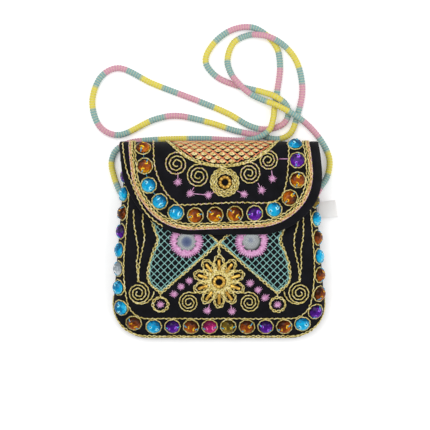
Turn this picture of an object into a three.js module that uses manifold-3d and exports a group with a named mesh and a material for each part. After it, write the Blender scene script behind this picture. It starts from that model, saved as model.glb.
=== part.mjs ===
// An embroidered flap bag with a wrapped-cord shoulder strap, lying on its back.
// Millimetres. +Z is up out of the table, +Y points to the bag's folded top, and the
// origin is the middle of the back, on the table.
import * as THREE from 'three';
import { mergeVertices } from 'three/addons/utils/BufferGeometryUtils.js';
import Module from 'manifold-3d';

const wasm = await Module();
wasm.setup();

// Driving dimensions of the cloth body
const BAG_WIDTH = 179;
const BAG_HEIGHT = 166.6;
const SIDE_TAPER = 9.5;
const CORNER_RADIUS = 32;
const BODY_DEPTH = 31;
const SEAM_HEIGHT = 8;
const SIDE_ROUND = 20;
const FRONT_RISE = 75;
const BACK_ROUND = 25;
const CLOTH = 2;
const MOUTH_DROP = 17.3;

// Driving dimensions of the flap
const FLAP_HALF_WIDTH = 84;
const FLAP_DROP = 78.5;
const FLAP_CORNER = 56;
const FLAP_LEAN = 5;
const FLAP_THICKNESS = 2.6;
const FLAP_GAP = 3.7;
const FLAP_OVERHANG = 9;
const FLAP_TILT = 4.5;
const FLAP_TILT_END = 35;
const FLAP_SIDE_INSET = 2;

// Driving dimensions of the stones, mirrors and beads
const STONE_DIAMETER = 11.5;
const STONE_HEIGHT = 4.2;
const STONE_GIRDLE = 1.2;
const STONE_TABLE = 6.4;
const STONE_SIDES = 8;
const FLAP_STONE_PITCH = 16.6;
const FLAP_STONE_INSET = 18;
const FRONT_STONE_PITCH = 15.8;
const FRONT_STONE_INSET = 11.2;
const LEFT_CORNER_EASE = 1.7;
const MIRROR_RADIUS = 8.6;
const MIRROR_THICKNESS = 1.2;
const MIRROR_RING_OUTER = 14.8;
const MIRROR_RING_HEIGHT = 2.4;
const MIRROR_LIP = 1.3;
const BEAD_OUTER = 5.8;
const BEAD_HOLE = 2.9;
const BEAD_HEIGHT = 3;

// Driving dimensions of the couched gold cord and the thread nets
const CORD_WIDTH = 1.9;
const CORD_HEIGHT = 1.4;
const BAND_WIDTH = 5.6;
const BAND_INSET = 8.8;
const SEAM_CORD_INSET = 1.6;
const RING_CLEARANCE = 0.35;
const NET_EDGE_WIDTH = 2.4;
const FAN_EDGE_WIDTH = 3;
const BAND_END = 2;
const FLAP_SPIRAL_RADIUS = 10.2;
const SMALL_RING_RADIUS = 6.4;
const SIDE_SPIRAL_RADIUS = 9.6;
const FLOWER_SPIRAL_RADIUS = 8.9;
const SPIRAL_TURNS = 2.25;
const SPIRAL_STEPS = 7;
const RING_STEPS = 8;
const BORDER_STEP = 6.5;
const NET_CELL = 6.6;
const NET_STRAND = 1.1;
const NET_THICKNESS = 0.9;
const NET_INNER = 8;
const FAN_CELL_WIDTH = 10;
const FAN_CELL_HEIGHT = 8;
const FAN_STRAND = 1.5;
const ROSETTE_RADIUS = 13;
const ROSETTE_HEIGHT = 1.8;
const FAN_RISE = 0.8;
const FAN_MARGIN = 11;
const FAN_MIDDLE = 3;
const FAN_END = 0.998;
const FAN_NET_SIDE = 5;
const FAN_NET_GAP = 2.2;
const FAN_NET_TOP = 3;
const PETALS = 10;
const PETAL_REACH = 22.3;
const PETAL_ROOT = 8.2;
const PETAL_WIDTH = 9;
const PETAL_STEPS = 6;
const HIDDEN = 13;
const CROSSING_PAST_X = 9;
const CROSSING_PAST_Y = 8;
const SQUIGGLE_STEM = 4;
const SQUIGGLE_SWING = 3;
const SQUIGGLE_TURN = 8;
const LINK_LAP = 1;
const RING_LINK = 2.5;

// Driving dimensions of the strap, the sewn-in tag and the press stud
const STRAP_DIAMETER = 5.4;
const STRAP_STEPS = 90;
const STRAP_SIDES = 8;
const TAG_LENGTH = 15;
const TAG_WIDTH = 14.5;
const TAG_PLY = 0.5;
const TAG_LOOP = 1.8;
const TAG_Y = 25;
const STUD_RADIUS = 6;
const STUD_BASE = 1.3;
const STUD_NUB_RADIUS = 2;
const STUD_NUB = 0.9;
const STUD_PLAY = 0.3;

// Clearance between pieces that touch, and under a cord couched on rounded cloth
const SEAT = 0.3;
const COUCH_LIFT = 0.48;

// Places worked out from the driving dimensions
const BOTTOM = -BAG_HEIGHT / 2;
const TOP = BAG_HEIGHT / 2;
const MOUTH = TOP - MOUTH_DROP;
const FLAP_BOTTOM = TOP - FLAP_DROP;
const FOLD_REACH = TOP - MOUTH;
const STONE_RING = STONE_DIAMETER / 2 + RING_CLEARANCE + CORD_WIDTH / 2;
const FRONT_LINE_INSET = FRONT_STONE_INSET + STONE_RING + CORD_WIDTH / 4;
const FLAP_LINE_INSET = FLAP_STONE_INSET + STONE_RING + CORD_WIDTH / 2;
const FAN_HALF = FLAP_HALF_WIDTH - FLAP_LINE_INSET - FAN_MARGIN;
const WIDE_Y = BOTTOM + CORNER_RADIUS;

const clamp = THREE.MathUtils.clamp;
const at = (x, y, z) => new THREE.Vector3(x, y, z);

// Half width of the body's sides, tapering from the lower corners to the mouth
function sideHalf(y) {
  return BAG_WIDTH / 2 - (SIDE_TAPER * (y - WIDE_Y)) / (MOUTH - WIDE_Y);
}

// Half width of the body's outline, with the lower corners rounded
function outlineHalf(y) {
  const below = clamp(WIDE_Y - y, 0, CORNER_RADIUS);
  return sideHalf(y) - CORNER_RADIUS + Math.sqrt(CORNER_RADIUS ** 2 - below ** 2);
}

// A quarter round: 0 at the edge, 1 where the round ends
function quarterRound(distance, reach) {
  const left = clamp(1 - distance / reach, 0, 1);
  return Math.sqrt(1 - left * left);
}

// Height of the stuffed front along its middle: it climbs from the bottom seam and levels out
function crown(y) {
  const share = clamp((y - BOTTOM) / FRONT_RISE, 0, 1);
  return SEAM_HEIGHT + (BODY_DEPTH - SEAM_HEIGHT) * Math.sin((share * Math.PI) / 2);
}

// Height of the front's outer face above the table
function frontHeight(x, y) {
  const round = quarterRound(outlineHalf(y) - Math.abs(x), SIDE_ROUND);
  return SEAM_HEIGHT + (crown(y) - SEAM_HEIGHT) * round;
}

// Height of the back's outer face: flat where it rests, rising to the seam at its edges
function backHeight(x, y) {
  const edge = SEAM_HEIGHT - SEAT - CLOTH;
  const side = clamp(1 - (outlineHalf(y) - Math.abs(x)) / BACK_ROUND, 0, 1) ** 2;
  const end = clamp(1 - (y - BOTTOM) / BACK_ROUND, 0, 1) ** 2;
  return edge * Math.min(1, side + end);
}

// A place on a surface: its point and its outward normal, from a function of two parameters
function placeOn(surface, u, v) {
  const step = 0.02;
  const along = surface(u + step, v).sub(surface(u - step, v));
  const up = surface(u, v + step).sub(surface(u, v - step));
  return { point: surface(u, v), normal: along.cross(up).normalize() };
}

const onFrontHeight = (x, y) => at(x, y, frontHeight(x, y));
const onFront = (x, y) => placeOn(onFrontHeight, x, y);

// Middle line of the flap, which leans a little to one side towards its lower edge
function flapMiddle(v) {
  return FLAP_LEAN * clamp((TOP - v) / (TOP - FLAP_BOTTOM - FLAP_CORNER / 2), 0, 1);
}

// Half width of the flap's cut, with its lower corners rounded. v runs up the unrolled flap.
function flapHalf(v) {
  const below = clamp(FLAP_BOTTOM + FLAP_CORNER - v, 0, FLAP_CORNER);
  return FLAP_HALF_WIDTH - FLAP_CORNER + Math.sqrt(FLAP_CORNER ** 2 - below ** 2);
}

// Height of the flap's underside where it lies over the front
function flapUnder(x, y) {
  const half = sideHalf(y) + FLAP_OVERHANG;
  const round = quarterRound(half - Math.abs(x), SIDE_ROUND);
  return SEAM_HEIGHT + (crown(y) - SEAM_HEIGHT) * round + FLAP_GAP;
}

// The unrolled length of the fold over the mouth, as a half round from front to back
const FOLD_LENGTH = Math.PI * FOLD_REACH;
const FLAP_TOP = MOUTH + FOLD_LENGTH;

// A point of the flap. Up to the mouth it lies on the front, and past it the flap turns over
// the bag's top and comes down to the back. layer 0 is its underside and 1 its outer face.
function flapPoint(x, v, layer) {
  const lift = FLAP_THICKNESS * layer;
  if (v <= MOUTH) return at(x, v, flapUnder(x, v) + lift);
  const turn = (Math.PI * (v - MOUTH)) / FOLD_LENGTH;
  const high = flapUnder(x, MOUTH) + FLAP_THICKNESS;
  const low = backHeight(clamp(x, -sideHalf(MOUTH), sideHalf(MOUTH)), MOUTH);
  const inward = FLAP_THICKNESS - lift;
  const reach = FOLD_REACH - inward;
  const rise = (high - low) / 2 - inward;
  return at(x, MOUTH + reach * Math.sin(turn), (high + low) / 2 + rise * Math.cos(turn));
}

const onFlap = (x, v) => ({ ...placeOn((a, b) => flapPoint(a, b, 1), x, v), cut: [x, v] });
const underFlap = (x, v) => placeOn((a, b) => flapPoint(a, b, 0), x, v);

// A closed mesh from points and triangles, turned so that its faces point out
function closedMesh(points, triangles) {
  let volume = 0;
  for (const [a, b, c] of triangles) {
    volume += points[a].dot(points[b].clone().cross(points[c]));
  }
  const turned = volume < 0 ? triangles.map(([a, b, c]) => [a, c, b]) : triangles;
  const geometry = new THREE.BufferGeometry().setFromPoints(points);
  geometry.setIndex(turned.flat());
  return geometry;
}

// A panel of cloth: two layers of grid points, joined round their edge
function panel(outer, inner) {
  const rows = outer.length;
  const columns = outer[0].length;
  const points = [...outer.flat(), ...inner.flat()];
  const id = (layer, r, c) => layer * rows * columns + r * columns + c;
  const triangles = [];
  const quad = (a, b, c, d) => triangles.push([a, b, c], [a, c, d]);
  for (let r = 0; r < rows - 1; r++) {
    for (let c = 0; c < columns - 1; c++) {
      quad(id(0, r, c), id(0, r, c + 1), id(0, r + 1, c + 1), id(0, r + 1, c));
      quad(id(1, r, c), id(1, r + 1, c), id(1, r + 1, c + 1), id(1, r, c + 1));
    }
  }
  for (let c = 0; c < columns - 1; c++) {
    quad(id(0, 0, c), id(1, 0, c), id(1, 0, c + 1), id(0, 0, c + 1));
    quad(id(0, rows - 1, c), id(0, rows - 1, c + 1), id(1, rows - 1, c + 1), id(1, rows - 1, c));
  }
  for (let r = 0; r < rows - 1; r++) {
    quad(id(0, r, 0), id(0, r + 1, 0), id(1, r + 1, 0), id(1, r, 0));
    quad(id(0, r, columns - 1), id(1, r, columns - 1), id(1, r + 1, columns - 1), id(0, r + 1, columns - 1));
  }
  return closedMesh(points, triangles);
}

// Shares from 0 to 1 in even steps
const shares = (steps) => Array.from({ length: steps + 1 }, (_, i) => i / steps);

// Rows of the body: close together round the lower corners, then even up to the mouth
function bodyRows(cornerRows, sideRows) {
  const corner = shares(cornerRows).map((s) => BOTTOM + CORNER_RADIUS * (1 - Math.cos((s * Math.PI) / 2)));
  const side = shares(sideRows).slice(1).map((s) => WIDE_Y + (MOUTH - WIDE_Y) * s);
  return [...corner, ...side];
}

// Columns across the body at one row: round each side by even angles, and even between
function bodyColumns(half, reach, roundSteps, flatSteps) {
  const rounds = shares(roundSteps).map((s) => half - reach * (1 - Math.cos((s * Math.PI) / 2)));
  const flats = shares(flatSteps).slice(1, -1).map((s) => (half - reach) * (1 - 2 * s));
  return [...rounds, ...flats, ...rounds.map((x) => -x).reverse()];
}

// The front of the bag: one stuffed panel, sewn to the back at the sides and the bottom
function frontPanel() {
  const outer = [];
  const inner = [];
  for (const y of bodyRows(6, 9)) {
    const columns = bodyColumns(outlineHalf(y), SIDE_ROUND, 6, 6);
    outer.push(columns.map((x) => onFrontHeight(x, y)));
    inner.push(columns.map((x) => insideOfFront(x, y)));
  }
  return panel(outer, inner);
}

// The front's inner face: the outer face drawn in by a cloth thickness at the seam and the crown
function insideOfFront(x, y) {
  const half = outlineHalf(y);
  const drawnUp = (CLOTH * (MOUTH - y)) / (MOUTH - BOTTOM);
  const depth = BODY_DEPTH - SEAM_HEIGHT;
  const rise = ((frontHeight(x, y) - SEAM_HEIGHT) * (depth - CLOTH)) / depth;
  return at((x * (half - CLOTH)) / half, y + drawnUp, SEAM_HEIGHT + rise);
}

// The back of the bag: it rests on the table, and its edges rise to the seam
function backPanel() {
  const outer = [];
  const inner = [];
  for (const y of bodyRows(6, 5)) {
    const columns = bodyColumns(outlineHalf(y), BACK_ROUND, 4, 4);
    const top = y === MOUTH ? y - SEAT : y;
    outer.push(columns.map((x) => at(x, top, backHeight(x, y))));
    inner.push(columns.map((x) => at(x, top, backHeight(x, y) + CLOTH)));
  }
  return panel(outer, inner);
}

// The flap: from the back's top edge over the mouth and down the front to its rounded edge
function flapPanel() {
  const corner = shares(7).map((s) => FLAP_BOTTOM + FLAP_CORNER * (1 - Math.cos((s * Math.PI) / 2)));
  const rows = [
    ...corner,
    MOUTH,
    ...shares(9).slice(1).map((s) => MOUTH + FOLD_LENGTH * s),
  ];
  const layer = (k) => rows.map((v) => {
    const columns = shares(16).map((s) => flapMiddle(v) + flapHalf(v) * Math.cos(s * Math.PI));
    return columns.map((x) => flapPoint(x, v, k));
  });
  return panel(layer(1), layer(0));
}

// Solids for joining and cutting
function solidOf(geometry) {
  const bare = geometry.clone();
  bare.deleteAttribute('normal');
  bare.deleteAttribute('uv');
  const merged = mergeVertices(bare, 1e-4);
  return new wasm.Manifold(new wasm.Mesh({
    numProp: 3,
    vertProperties: new Float32Array(merged.attributes.position.array),
    triVerts: new Uint32Array(merged.index.array),
  }));
}

function geometryOf(solid) {
  const mesh = solid.getMesh();
  const geometry = new THREE.BufferGeometry();
  geometry.setAttribute('position', new THREE.BufferAttribute(mesh.vertProperties, 3));
  geometry.setIndex(new THREE.BufferAttribute(mesh.triVerts, 1));
  return geometry;
}

function joined(geometries) {
  return geometryOf(geometries.map(solidOf).reduce((all, one) => all.add(one)));
}

// A couched cord: a ridge with its two feet on the cloth and one crest, along places on a surface
function ridge(places, { width = CORD_WIDTH, height = CORD_HEIGHT, closed = false } = {}) {
  const count = places.length;
  const points = [];
  places.forEach(({ point, normal }, i) => {
    const before = places[closed ? (i + count - 1) % count : Math.max(i - 1, 0)].point;
    const after = places[closed ? (i + 1) % count : Math.min(i + 1, count - 1)].point;
    const along = after.clone().sub(before).normalize();
    const across = along.clone().cross(normal).normalize();
    const foot = point.clone().addScaledVector(normal, COUCH_LIFT);
    points.push(foot.clone().addScaledVector(across, -width / 2));
    points.push(foot.clone().addScaledVector(across, width / 2));
    points.push(foot.clone().addScaledVector(normal, height));
  });
  const triangles = closed ? [] : [[0, 1, 2], [3 * count - 3, 3 * count - 1, 3 * count - 2]];
  for (let i = 0; i < (closed ? count : count - 1); i++) {
    const j = (i + 1) % count;
    for (let k = 0; k < 3; k++) {
      const [a, b] = [3 * i + k, 3 * i + ((k + 1) % 3)];
      const [c, d] = [3 * j + k, 3 * j + ((k + 1) % 3)];
      triangles.push([a, c, d], [a, d, b]);
    }
  }
  return closedMesh(points, triangles);
}

// Places along a smooth line through a few points of the cloth's own plane
function smoothPlaces(surface, points, steps) {
  const curve = new THREE.SplineCurve(points.map(([x, y]) => new THREE.Vector2(x, y)));
  return curve.getSpacedPoints(steps).map((p) => surface(p.x, p.y));
}

// A point dropped onto the front along a direction, down to where it meets the cloth
function droppedOnFront(point, normal) {
  const above = (p) => Math.abs(p.x) > outlineHalf(p.y) || p.z > frontHeight(p.x, p.y);
  const reach = STONE_DIAMETER / 2;
  let [low, high] = [-reach, reach];
  for (let i = 0; i < 30; i++) {
    const middle = (low + high) / 2;
    if (above(point.clone().addScaledVector(normal, -middle))) low = middle;
    else high = middle;
  }
  const landed = point.clone().addScaledVector(normal, -low);
  return onFront(landed.x, landed.y);
}

// Places on a circle round a place of the front
function frontRing({ point, normal }, radius, steps) {
  const turn = new THREE.Quaternion().setFromUnitVectors(at(0, 0, 1), normal);
  return shares(steps).slice(1).map((s) => {
    const angle = s * 2 * Math.PI;
    const spoke = at(Math.cos(angle), Math.sin(angle), 0).applyQuaternion(turn);
    return droppedOnFront(point.clone().addScaledVector(spoke, radius), normal);
  });
}

// Places on a circle round a place of the flap
function flapRing({ cut: [x, v] }, radius, steps) {
  return shares(steps).slice(1).map((s) => {
    const angle = s * 2 * Math.PI;
    return onFlap(x + radius * Math.cos(angle), v + radius * Math.sin(angle));
  });
}

// Places on a spiral that starts at its outer end, at an angle, and winds inwards
function spiralPlaces(surface, [x, y], radius, startAngle, hand) {
  const steps = Math.round(SPIRAL_TURNS * SPIRAL_STEPS);
  const inner = CORD_WIDTH * 0.8;
  return shares(steps).map((s) => {
    const reach = radius + (inner - radius) * s;
    const angle = startAngle + hand * s * SPIRAL_TURNS * 2 * Math.PI;
    return surface(x + reach * Math.cos(angle), y + reach * Math.sin(angle));
  });
}

// The outline of the body's seam from the bottom's middle round one corner and up to the mouth
function halfOutline(side) {
  const flat = outlineHalf(BOTTOM);
  const bottom = shares(12).map((s) => [flat * s, BOTTOM, 0, 1]);
  const corner = shares(16).slice(1).map((s) => {
    const angle = (s * Math.PI) / 2;
    const y = BOTTOM + CORNER_RADIUS * (1 - Math.cos(angle));
    return [outlineHalf(y), y, -Math.sin(angle), Math.cos(angle)];
  });
  const sides = shares(20).slice(1).map((s) => {
    const y = WIDE_Y + (MOUTH - WIDE_Y) * s;
    return [outlineHalf(y), y, -1, 0];
  });
  return [...bottom, ...corner, ...sides].map(([x, y, nx, ny]) => [side * x, y, side * nx, ny]);
}

// The place a given length of cloth inside the seam, found by walking in over the front
function insideSeam([x, y, nx, ny], inset) {
  let walked = 0;
  let last = at(x, y, SEAM_HEIGHT);
  for (let i = 1; i <= 400; i++) {
    const reach = 1.5 * inset * (i / 400) ** 2;
    const here = onFrontHeight(x + nx * reach, clamp(y + ny * reach, BOTTOM, MOUTH));
    walked += here.distanceTo(last);
    last = here;
    if (walked >= inset) break;
  }
  return onFront(last.x, last.y);
}

// A border round the front at one inset from the seam, measured both ways from the bottom's middle
function frontBorder(inset) {
  const side = (s) => halfOutline(s).map((p) => insideSeam(p, inset));
  const places = [...side(-1).reverse(), ...side(1).slice(1)];
  return measured(places, Math.floor(places.length / 2));
}

// How far the flap's pattern drops towards its left side
function flapTilt(x) {
  const share = (FLAP_TILT_END - x) / (FLAP_TILT_END + FLAP_HALF_WIDTH);
  return FLAP_TILT * clamp(share, 0, 1);
}

// The flap's cut at one inset from its edge, in the unrolled flap, up to a height on each side
function flapBorder(inset, top) {
  const radius = FLAP_CORNER - inset;
  const flat = FLAP_HALF_WIDTH - FLAP_CORNER - FLAP_SIDE_INSET;
  const low = FLAP_BOTTOM + inset;
  const half = [
    ...shares(4).map((s) => [flat * s, low]),
    ...shares(14).slice(1).map((s) => {
      const angle = (s * Math.PI) / 2;
      return [flat + radius * Math.sin(angle), low + radius * (1 - Math.cos(angle))];
    }),
    ...shares(8).slice(1).map((s) => [flat + radius, low + radius + (top - low - radius) * s]),
  ];
  const side = (s) => half.map(([x, v]) => {
    const leaned = flapMiddle(v) + s * x;
    return onFlap(leaned, v - flapTilt(leaned));
  });
  const places = [...side(-1).reverse(), ...side(1).slice(1)];
  return measured(places, half.length - 1);
}

// A line of places with its length measured from a middle place
function measured(places, middle) {
  const lengths = [0];
  for (let i = 1; i < places.length; i++) {
    lengths.push(lengths[i - 1] + places[i].point.distanceTo(places[i - 1].point));
  }
  return { places, lengths: lengths.map((l) => l - lengths[middle]) };
}

// The place at a length along a measured line
function along({ places, lengths }, length) {
  let i = lengths.findIndex((l) => l > length);
  i = clamp(i < 0 ? lengths.length - 1 : i, 1, lengths.length - 1);
  const share = (length - lengths[i - 1]) / (lengths[i] - lengths[i - 1]);
  const [before, after] = [places[i - 1], places[i]];
  if (before.cut) return onFlap(...before.cut.map((c, k) => c + (after.cut[k] - c) * share));
  return {
    point: before.point.clone().lerp(after.point, share),
    normal: before.normal.clone().lerp(after.normal, share).normalize(),
  };
}

// Even places along a measured line between two lengths
function stretch(line, from, to, step) {
  const steps = Math.max(2, Math.round((to - from) / step));
  return shares(steps).map((s) => along(line, from + (to - from) * s));
}

// Colours of the pieces
const COLOURS = {
  cloth: 0x17171b,
  gold: 0xcbb068,
  orange: 0xdd7f52,
  teal: 0x7fc4b7,
  pink: 0xd897c0,
  mirror: 0x9aa3ac,
  bead: 0xb98a2e,
  steel: 0xb9bcc0,
  tag: 0xf1eeea,
  strap: 0xa9b39a,
  blue: 0x18a5de,
  amber: 0xa3520f,
  purple: 0x6a1aa8,
  magenta: 0xb3206e,
  olive: 0x8a6a1a,
  clear: 0xd9dde6,
};
const bag = new THREE.Group();
bag.name = 'flap_bag';

function add(name, geometry, colour, { roughness = 0.9, metalness = 0 } = {}) {
  const material = new THREE.MeshStandardMaterial({ color: COLOURS[colour], roughness, metalness });
  const mesh = new THREE.Mesh(geometry, material);
  mesh.name = name;
  bag.add(mesh);
  return mesh;
}

// Stands a piece made along +Z on a place of the cloth
function seat(mesh, { point, normal }) {
  mesh.position.copy(point).addScaledVector(normal, SEAT);
  mesh.quaternion.setFromUnitVectors(at(0, 0, 1), normal);
}

// A turned piece: its half section is given as radius and height
function turned(section, sides) {
  const points = section.map(([r, z]) => new THREE.Vector2(r, z));
  return new THREE.LatheGeometry(points, sides).rotateX(Math.PI / 2);
}

// Stones: faceted, flat-backed and sewn on through two holes near the edge
function stoneGeometry() {
  const radius = STONE_DIAMETER / 2;
  const section = [
    [0, 0], [radius, 0], [radius, STONE_GIRDLE], [STONE_TABLE / 2, STONE_HEIGHT], [0, STONE_HEIGHT],
  ];
  return turned(section, STONE_SIDES);
}

const FLAP_STONES = [
  'amber', 'amber', 'blue', 'blue', 'blue', 'amber', 'amber',
  'amber', 'purple', 'blue', 'amber', 'amber', 'purple', 'blue',
];
const FRONT_STONES = [
  'purple', 'blue', 'amber', 'purple', 'blue', 'clear', 'blue', 'blue', 'amber',
  'blue', 'purple', 'amber', 'magenta', 'olive', 'amber', 'purple', 'amber',
  'blue', 'purple', 'amber', 'amber', 'blue', 'amber', 'blue', 'olive',
];
const FRONT_STONES_LEFT = 13;
const FLAP_STONES_LEFT = 7;
const LEFT_CORNER_STONE = 9;
const LEFT_CORNER_STEPS = 3;

// Length along the front's border of one stone: even steps, a little longer round the left corner.
function frontStoneLength(i) {
  const eased = Math.min(Math.max(LEFT_CORNER_STONE - i, 0), LEFT_CORNER_STEPS);
  return (i - FRONT_STONES_LEFT + 0.5) * FRONT_STONE_PITCH - eased * LEFT_CORNER_EASE;
}

const flapStoneLine = flapBorder(FLAP_STONE_INSET, FLAP_TOP);
const frontStoneLine = frontBorder(FRONT_STONE_INSET);
const flapStonePlaces = FLAP_STONES.map((_, i) => (
  along(flapStoneLine, (i - FLAP_STONES_LEFT + 0.5) * FLAP_STONE_PITCH)
));
const frontStonePlaces = FRONT_STONES.map((_, i) => (
  along(frontStoneLine, frontStoneLength(i))
));

function addStones(carrier, colours, places) {
  places.forEach((place, i) => {
    const name = `${carrier}_stone_${String(i + 1).padStart(2, '0')}`;
    seat(add(name, stoneGeometry(), colours[i], { roughness: 0.1 }), place);
  });
}

const stoneRings = (places, ring) => places.map((place) => (
  ridge(ring(place, STONE_RING, RING_STEPS), { closed: true })
));

// Motifs of the front, as shares of the field inside its border: x of the half width at that
// height, and y from the border's lower line to the flap's edge
const FIELD_LOW = BOTTOM + FRONT_LINE_INSET;
const fieldY = (share) => FIELD_LOW + (FLAP_BOTTOM - FIELD_LOW) * share;
const fieldX = (share, y) => share * (sideHalf(y) - SIDE_ROUND);
const frontSpot = (sx, sy) => [fieldX(sx, fieldY(sy)), fieldY(sy)];

const FLOWER = frontSpot(0, 0.43);
const CROSSING = frontSpot(0, 0.9);
const NET_TIP = frontSpot(0.71, 0.29);
const MIRROR = frontSpot(0.42, 0.92);
const SMALL_RING = frontSpot(0.71, 0.15);
const SIDE_SPIRAL = frontSpot(0.985, 0.29);
const FLOWER_SPIRAL = frontSpot(0.365, 0.175);

// The net's edge on one side: from the crossing to the tip, then up its wavy outer side
function netEdge(side) {
  const outer = [[0.86, 0.42], [0.88, 0.6], [0.84, 0.78], [0.79, 0.93], [0.84, 1.06]];
  const top = FLAP_BOTTOM + HIDDEN;
  return {
    inner: [[side * CROSSING[0], CROSSING[1]], [side * NET_TIP[0], NET_TIP[1]]],
    outer: [NET_TIP, ...outer.map(([sx, sy]) => frontSpot(sx, sy)), [fieldX(0.88, top), top]]
      .map(([x, y]) => [side * x, y]),
    top,
  };
}

// Gold cord on the front: border lines, stone rings, net edges, spirals, flower and squiggles
function frontGold() {
  const line = frontBorder(FRONT_LINE_INSET);
  const pieces = [
    ridge(stretch(line, line.lengths[0], line.lengths.at(-1), BORDER_STEP)),
    ...stoneRings(frontStonePlaces, frontRing),
    ...flowerPetals(),
  ];
  const stem = [[CROSSING[0], CROSSING[1] + LINK_LAP], [FLOWER[0], FLOWER[1] + PETAL_REACH - LINK_LAP]];
  pieces.push(ridge(smoothPlaces(onFront, stem, 3)));
  for (const side of [-1, 1]) {
    const edge = netEdge(side);
    const past = [-side * CROSSING_PAST_X, CROSSING[1] + CROSSING_PAST_Y];
    pieces.push(ridge(smoothPlaces(onFront, [past, ...edge.inner], 12), { width: NET_EDGE_WIDTH }));
    pieces.push(ridge(smoothPlaces(onFront, edge.outer, 14), { width: NET_EDGE_WIDTH }));
    const ringAt = onFront(side * SMALL_RING[0], SMALL_RING[1]);
    pieces.push(ridge(frontRing(ringAt, SMALL_RING_RADIUS, 10), { closed: true, width: NET_EDGE_WIDTH }));
    const link = [[side * SMALL_RING[0], SMALL_RING[1] - SMALL_RING_RADIUS],
      [side * SMALL_RING[0], FIELD_LOW - RING_LINK]];
    pieces.push(ridge(smoothPlaces(onFront, link, 2)));
    const tip = [[side * NET_TIP[0], NET_TIP[1]],
      [side * SMALL_RING[0], SMALL_RING[1] + SMALL_RING_RADIUS]];
    pieces.push(ridge(smoothPlaces(onFront, tip, 2)));
    pieces.push(...sideSquiggles(side));
    const spin = side < 0 ? Math.PI * 0.35 : Math.PI * 0.65;
    const curl = [side * FLOWER_SPIRAL[0], FLOWER_SPIRAL[1]];
    pieces.push(ridge(spiralPlaces(onFront, curl, FLOWER_SPIRAL_RADIUS, spin, -side)));
    const petal = [[side * (FLOWER[0] + PETAL_REACH * 0.8), FLOWER[1] - PETAL_REACH * 0.4],
      [curl[0] + FLOWER_SPIRAL_RADIUS * Math.cos(spin), curl[1] + FLOWER_SPIRAL_RADIUS * Math.sin(spin)]];
    pieces.push(ridge(smoothPlaces(onFront, petal, 2)));
  }
  return joined(pieces);
}

// Gold cord along the body's seam
function seamCord() {
  const seam = frontBorder(SEAM_CORD_INSET);
  return ridge(stretch(seam, seam.lengths[0], seam.lengths.at(-1), BORDER_STEP));
}

// Two wavy lines that come from under the flap, meet, and wind into a spiral
function sideSquiggles(side) {
  const [x, y] = SIDE_SPIRAL;
  const meet = [side * x, y + SIDE_SPIRAL_RADIUS + SQUIGGLE_STEM];
  const top = FLAP_BOTTOM + HIDDEN;
  const wave = (dx) => [[meet[0], meet[1]], [meet[0] + dx, (meet[1] + top) / 2],
    [meet[0] + dx * 0.5, top - SQUIGGLE_TURN], [meet[0] + dx * 1.1, top]];
  const start = [side * x, y + SIDE_SPIRAL_RADIUS];
  const tie = [[side * (x - SIDE_SPIRAL_RADIUS * 0.9), y - LINK_LAP],
    [side * NET_TIP[0], NET_TIP[1] + LINK_LAP]];
  return [
    ridge(smoothPlaces(onFront, wave(-SQUIGGLE_SWING), 8)),
    ridge(smoothPlaces(onFront, wave(SQUIGGLE_SWING), 8)),
    ridge(smoothPlaces(onFront, [meet, start], 2)),
    ridge(spiralPlaces(onFront, [side * x, y], SIDE_SPIRAL_RADIUS, Math.PI / 2, side)),
    ridge(smoothPlaces(onFront, tie, 3)),
  ];
}

// The flower: looped petals, each round a bugle bead and touching its neighbours
function flowerPetals() {
  const centre = (PETAL_REACH + PETAL_ROOT) / 2;
  const long = (PETAL_REACH - PETAL_ROOT) / 2;
  return shares(PETALS).slice(1).map((s) => {
    const spoke = s * 2 * Math.PI + Math.PI / 2;
    const places = shares(PETAL_STEPS).slice(1).map((k) => {
      const angle = k * 2 * Math.PI;
      const r = centre + long * Math.cos(angle);
      const w = (PETAL_WIDTH / 2) * Math.sin(angle);
      const x = FLOWER[0] + r * Math.cos(spoke) - w * Math.sin(spoke);
      const y = FLOWER[1] + r * Math.sin(spoke) + w * Math.cos(spoke);
      return onFront(x, y);
    });
    return ridge(places, { closed: true });
  });
}

// Motifs of the flap, as shares of the field inside its inner line
const FLAP_FIELD_LOW = FLAP_BOTTOM + FLAP_LINE_INSET;
const flapY = (share) => FLAP_FIELD_LOW + (TOP - FLAP_FIELD_LOW) * share;
const flapX = (share) => FLAP_LEAN + share * (FLAP_HALF_WIDTH - FLAP_LINE_INSET);
const flapSpot = (sx, sy) => [flapX(sx), flapY(sy)];
const ROSETTE = flapSpot(0, 0.34);
const FAN_LOW = ROSETTE[1] + ROSETTE_RADIUS + FAN_RISE;
const FAN_TOP = MOUTH + FOLD_LENGTH * 0.56;
const FLAP_SPIRALS = [
  { spot: flapSpot(-0.7, 0.63), radius: FLAP_SPIRAL_RADIUS, start: 0.28, hand: 1 },
  { spot: flapSpot(-0.385, 0.44), radius: FLAP_SPIRAL_RADIUS * 0.98, start: 0.42, hand: 1 },
  { spot: flapSpot(0.35, 0.48), radius: FLAP_SPIRAL_RADIUS * 0.94, start: 0.6, hand: -1 },
  { spot: flapSpot(0.62, 0.69), radius: FLAP_SPIRAL_RADIUS * 0.86, start: 0.72, hand: -1 },
];

// Height of the fan's gold edge at a distance from its middle: the lower half of an ellipse
function fanEdge(x) {
  const share = clamp((x - FAN_MIDDLE) / FAN_HALF, -1, 1);
  return FAN_LOW + (FAN_TOP - FAN_LOW) * (1 - Math.sqrt(1 - share * share));
}

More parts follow.
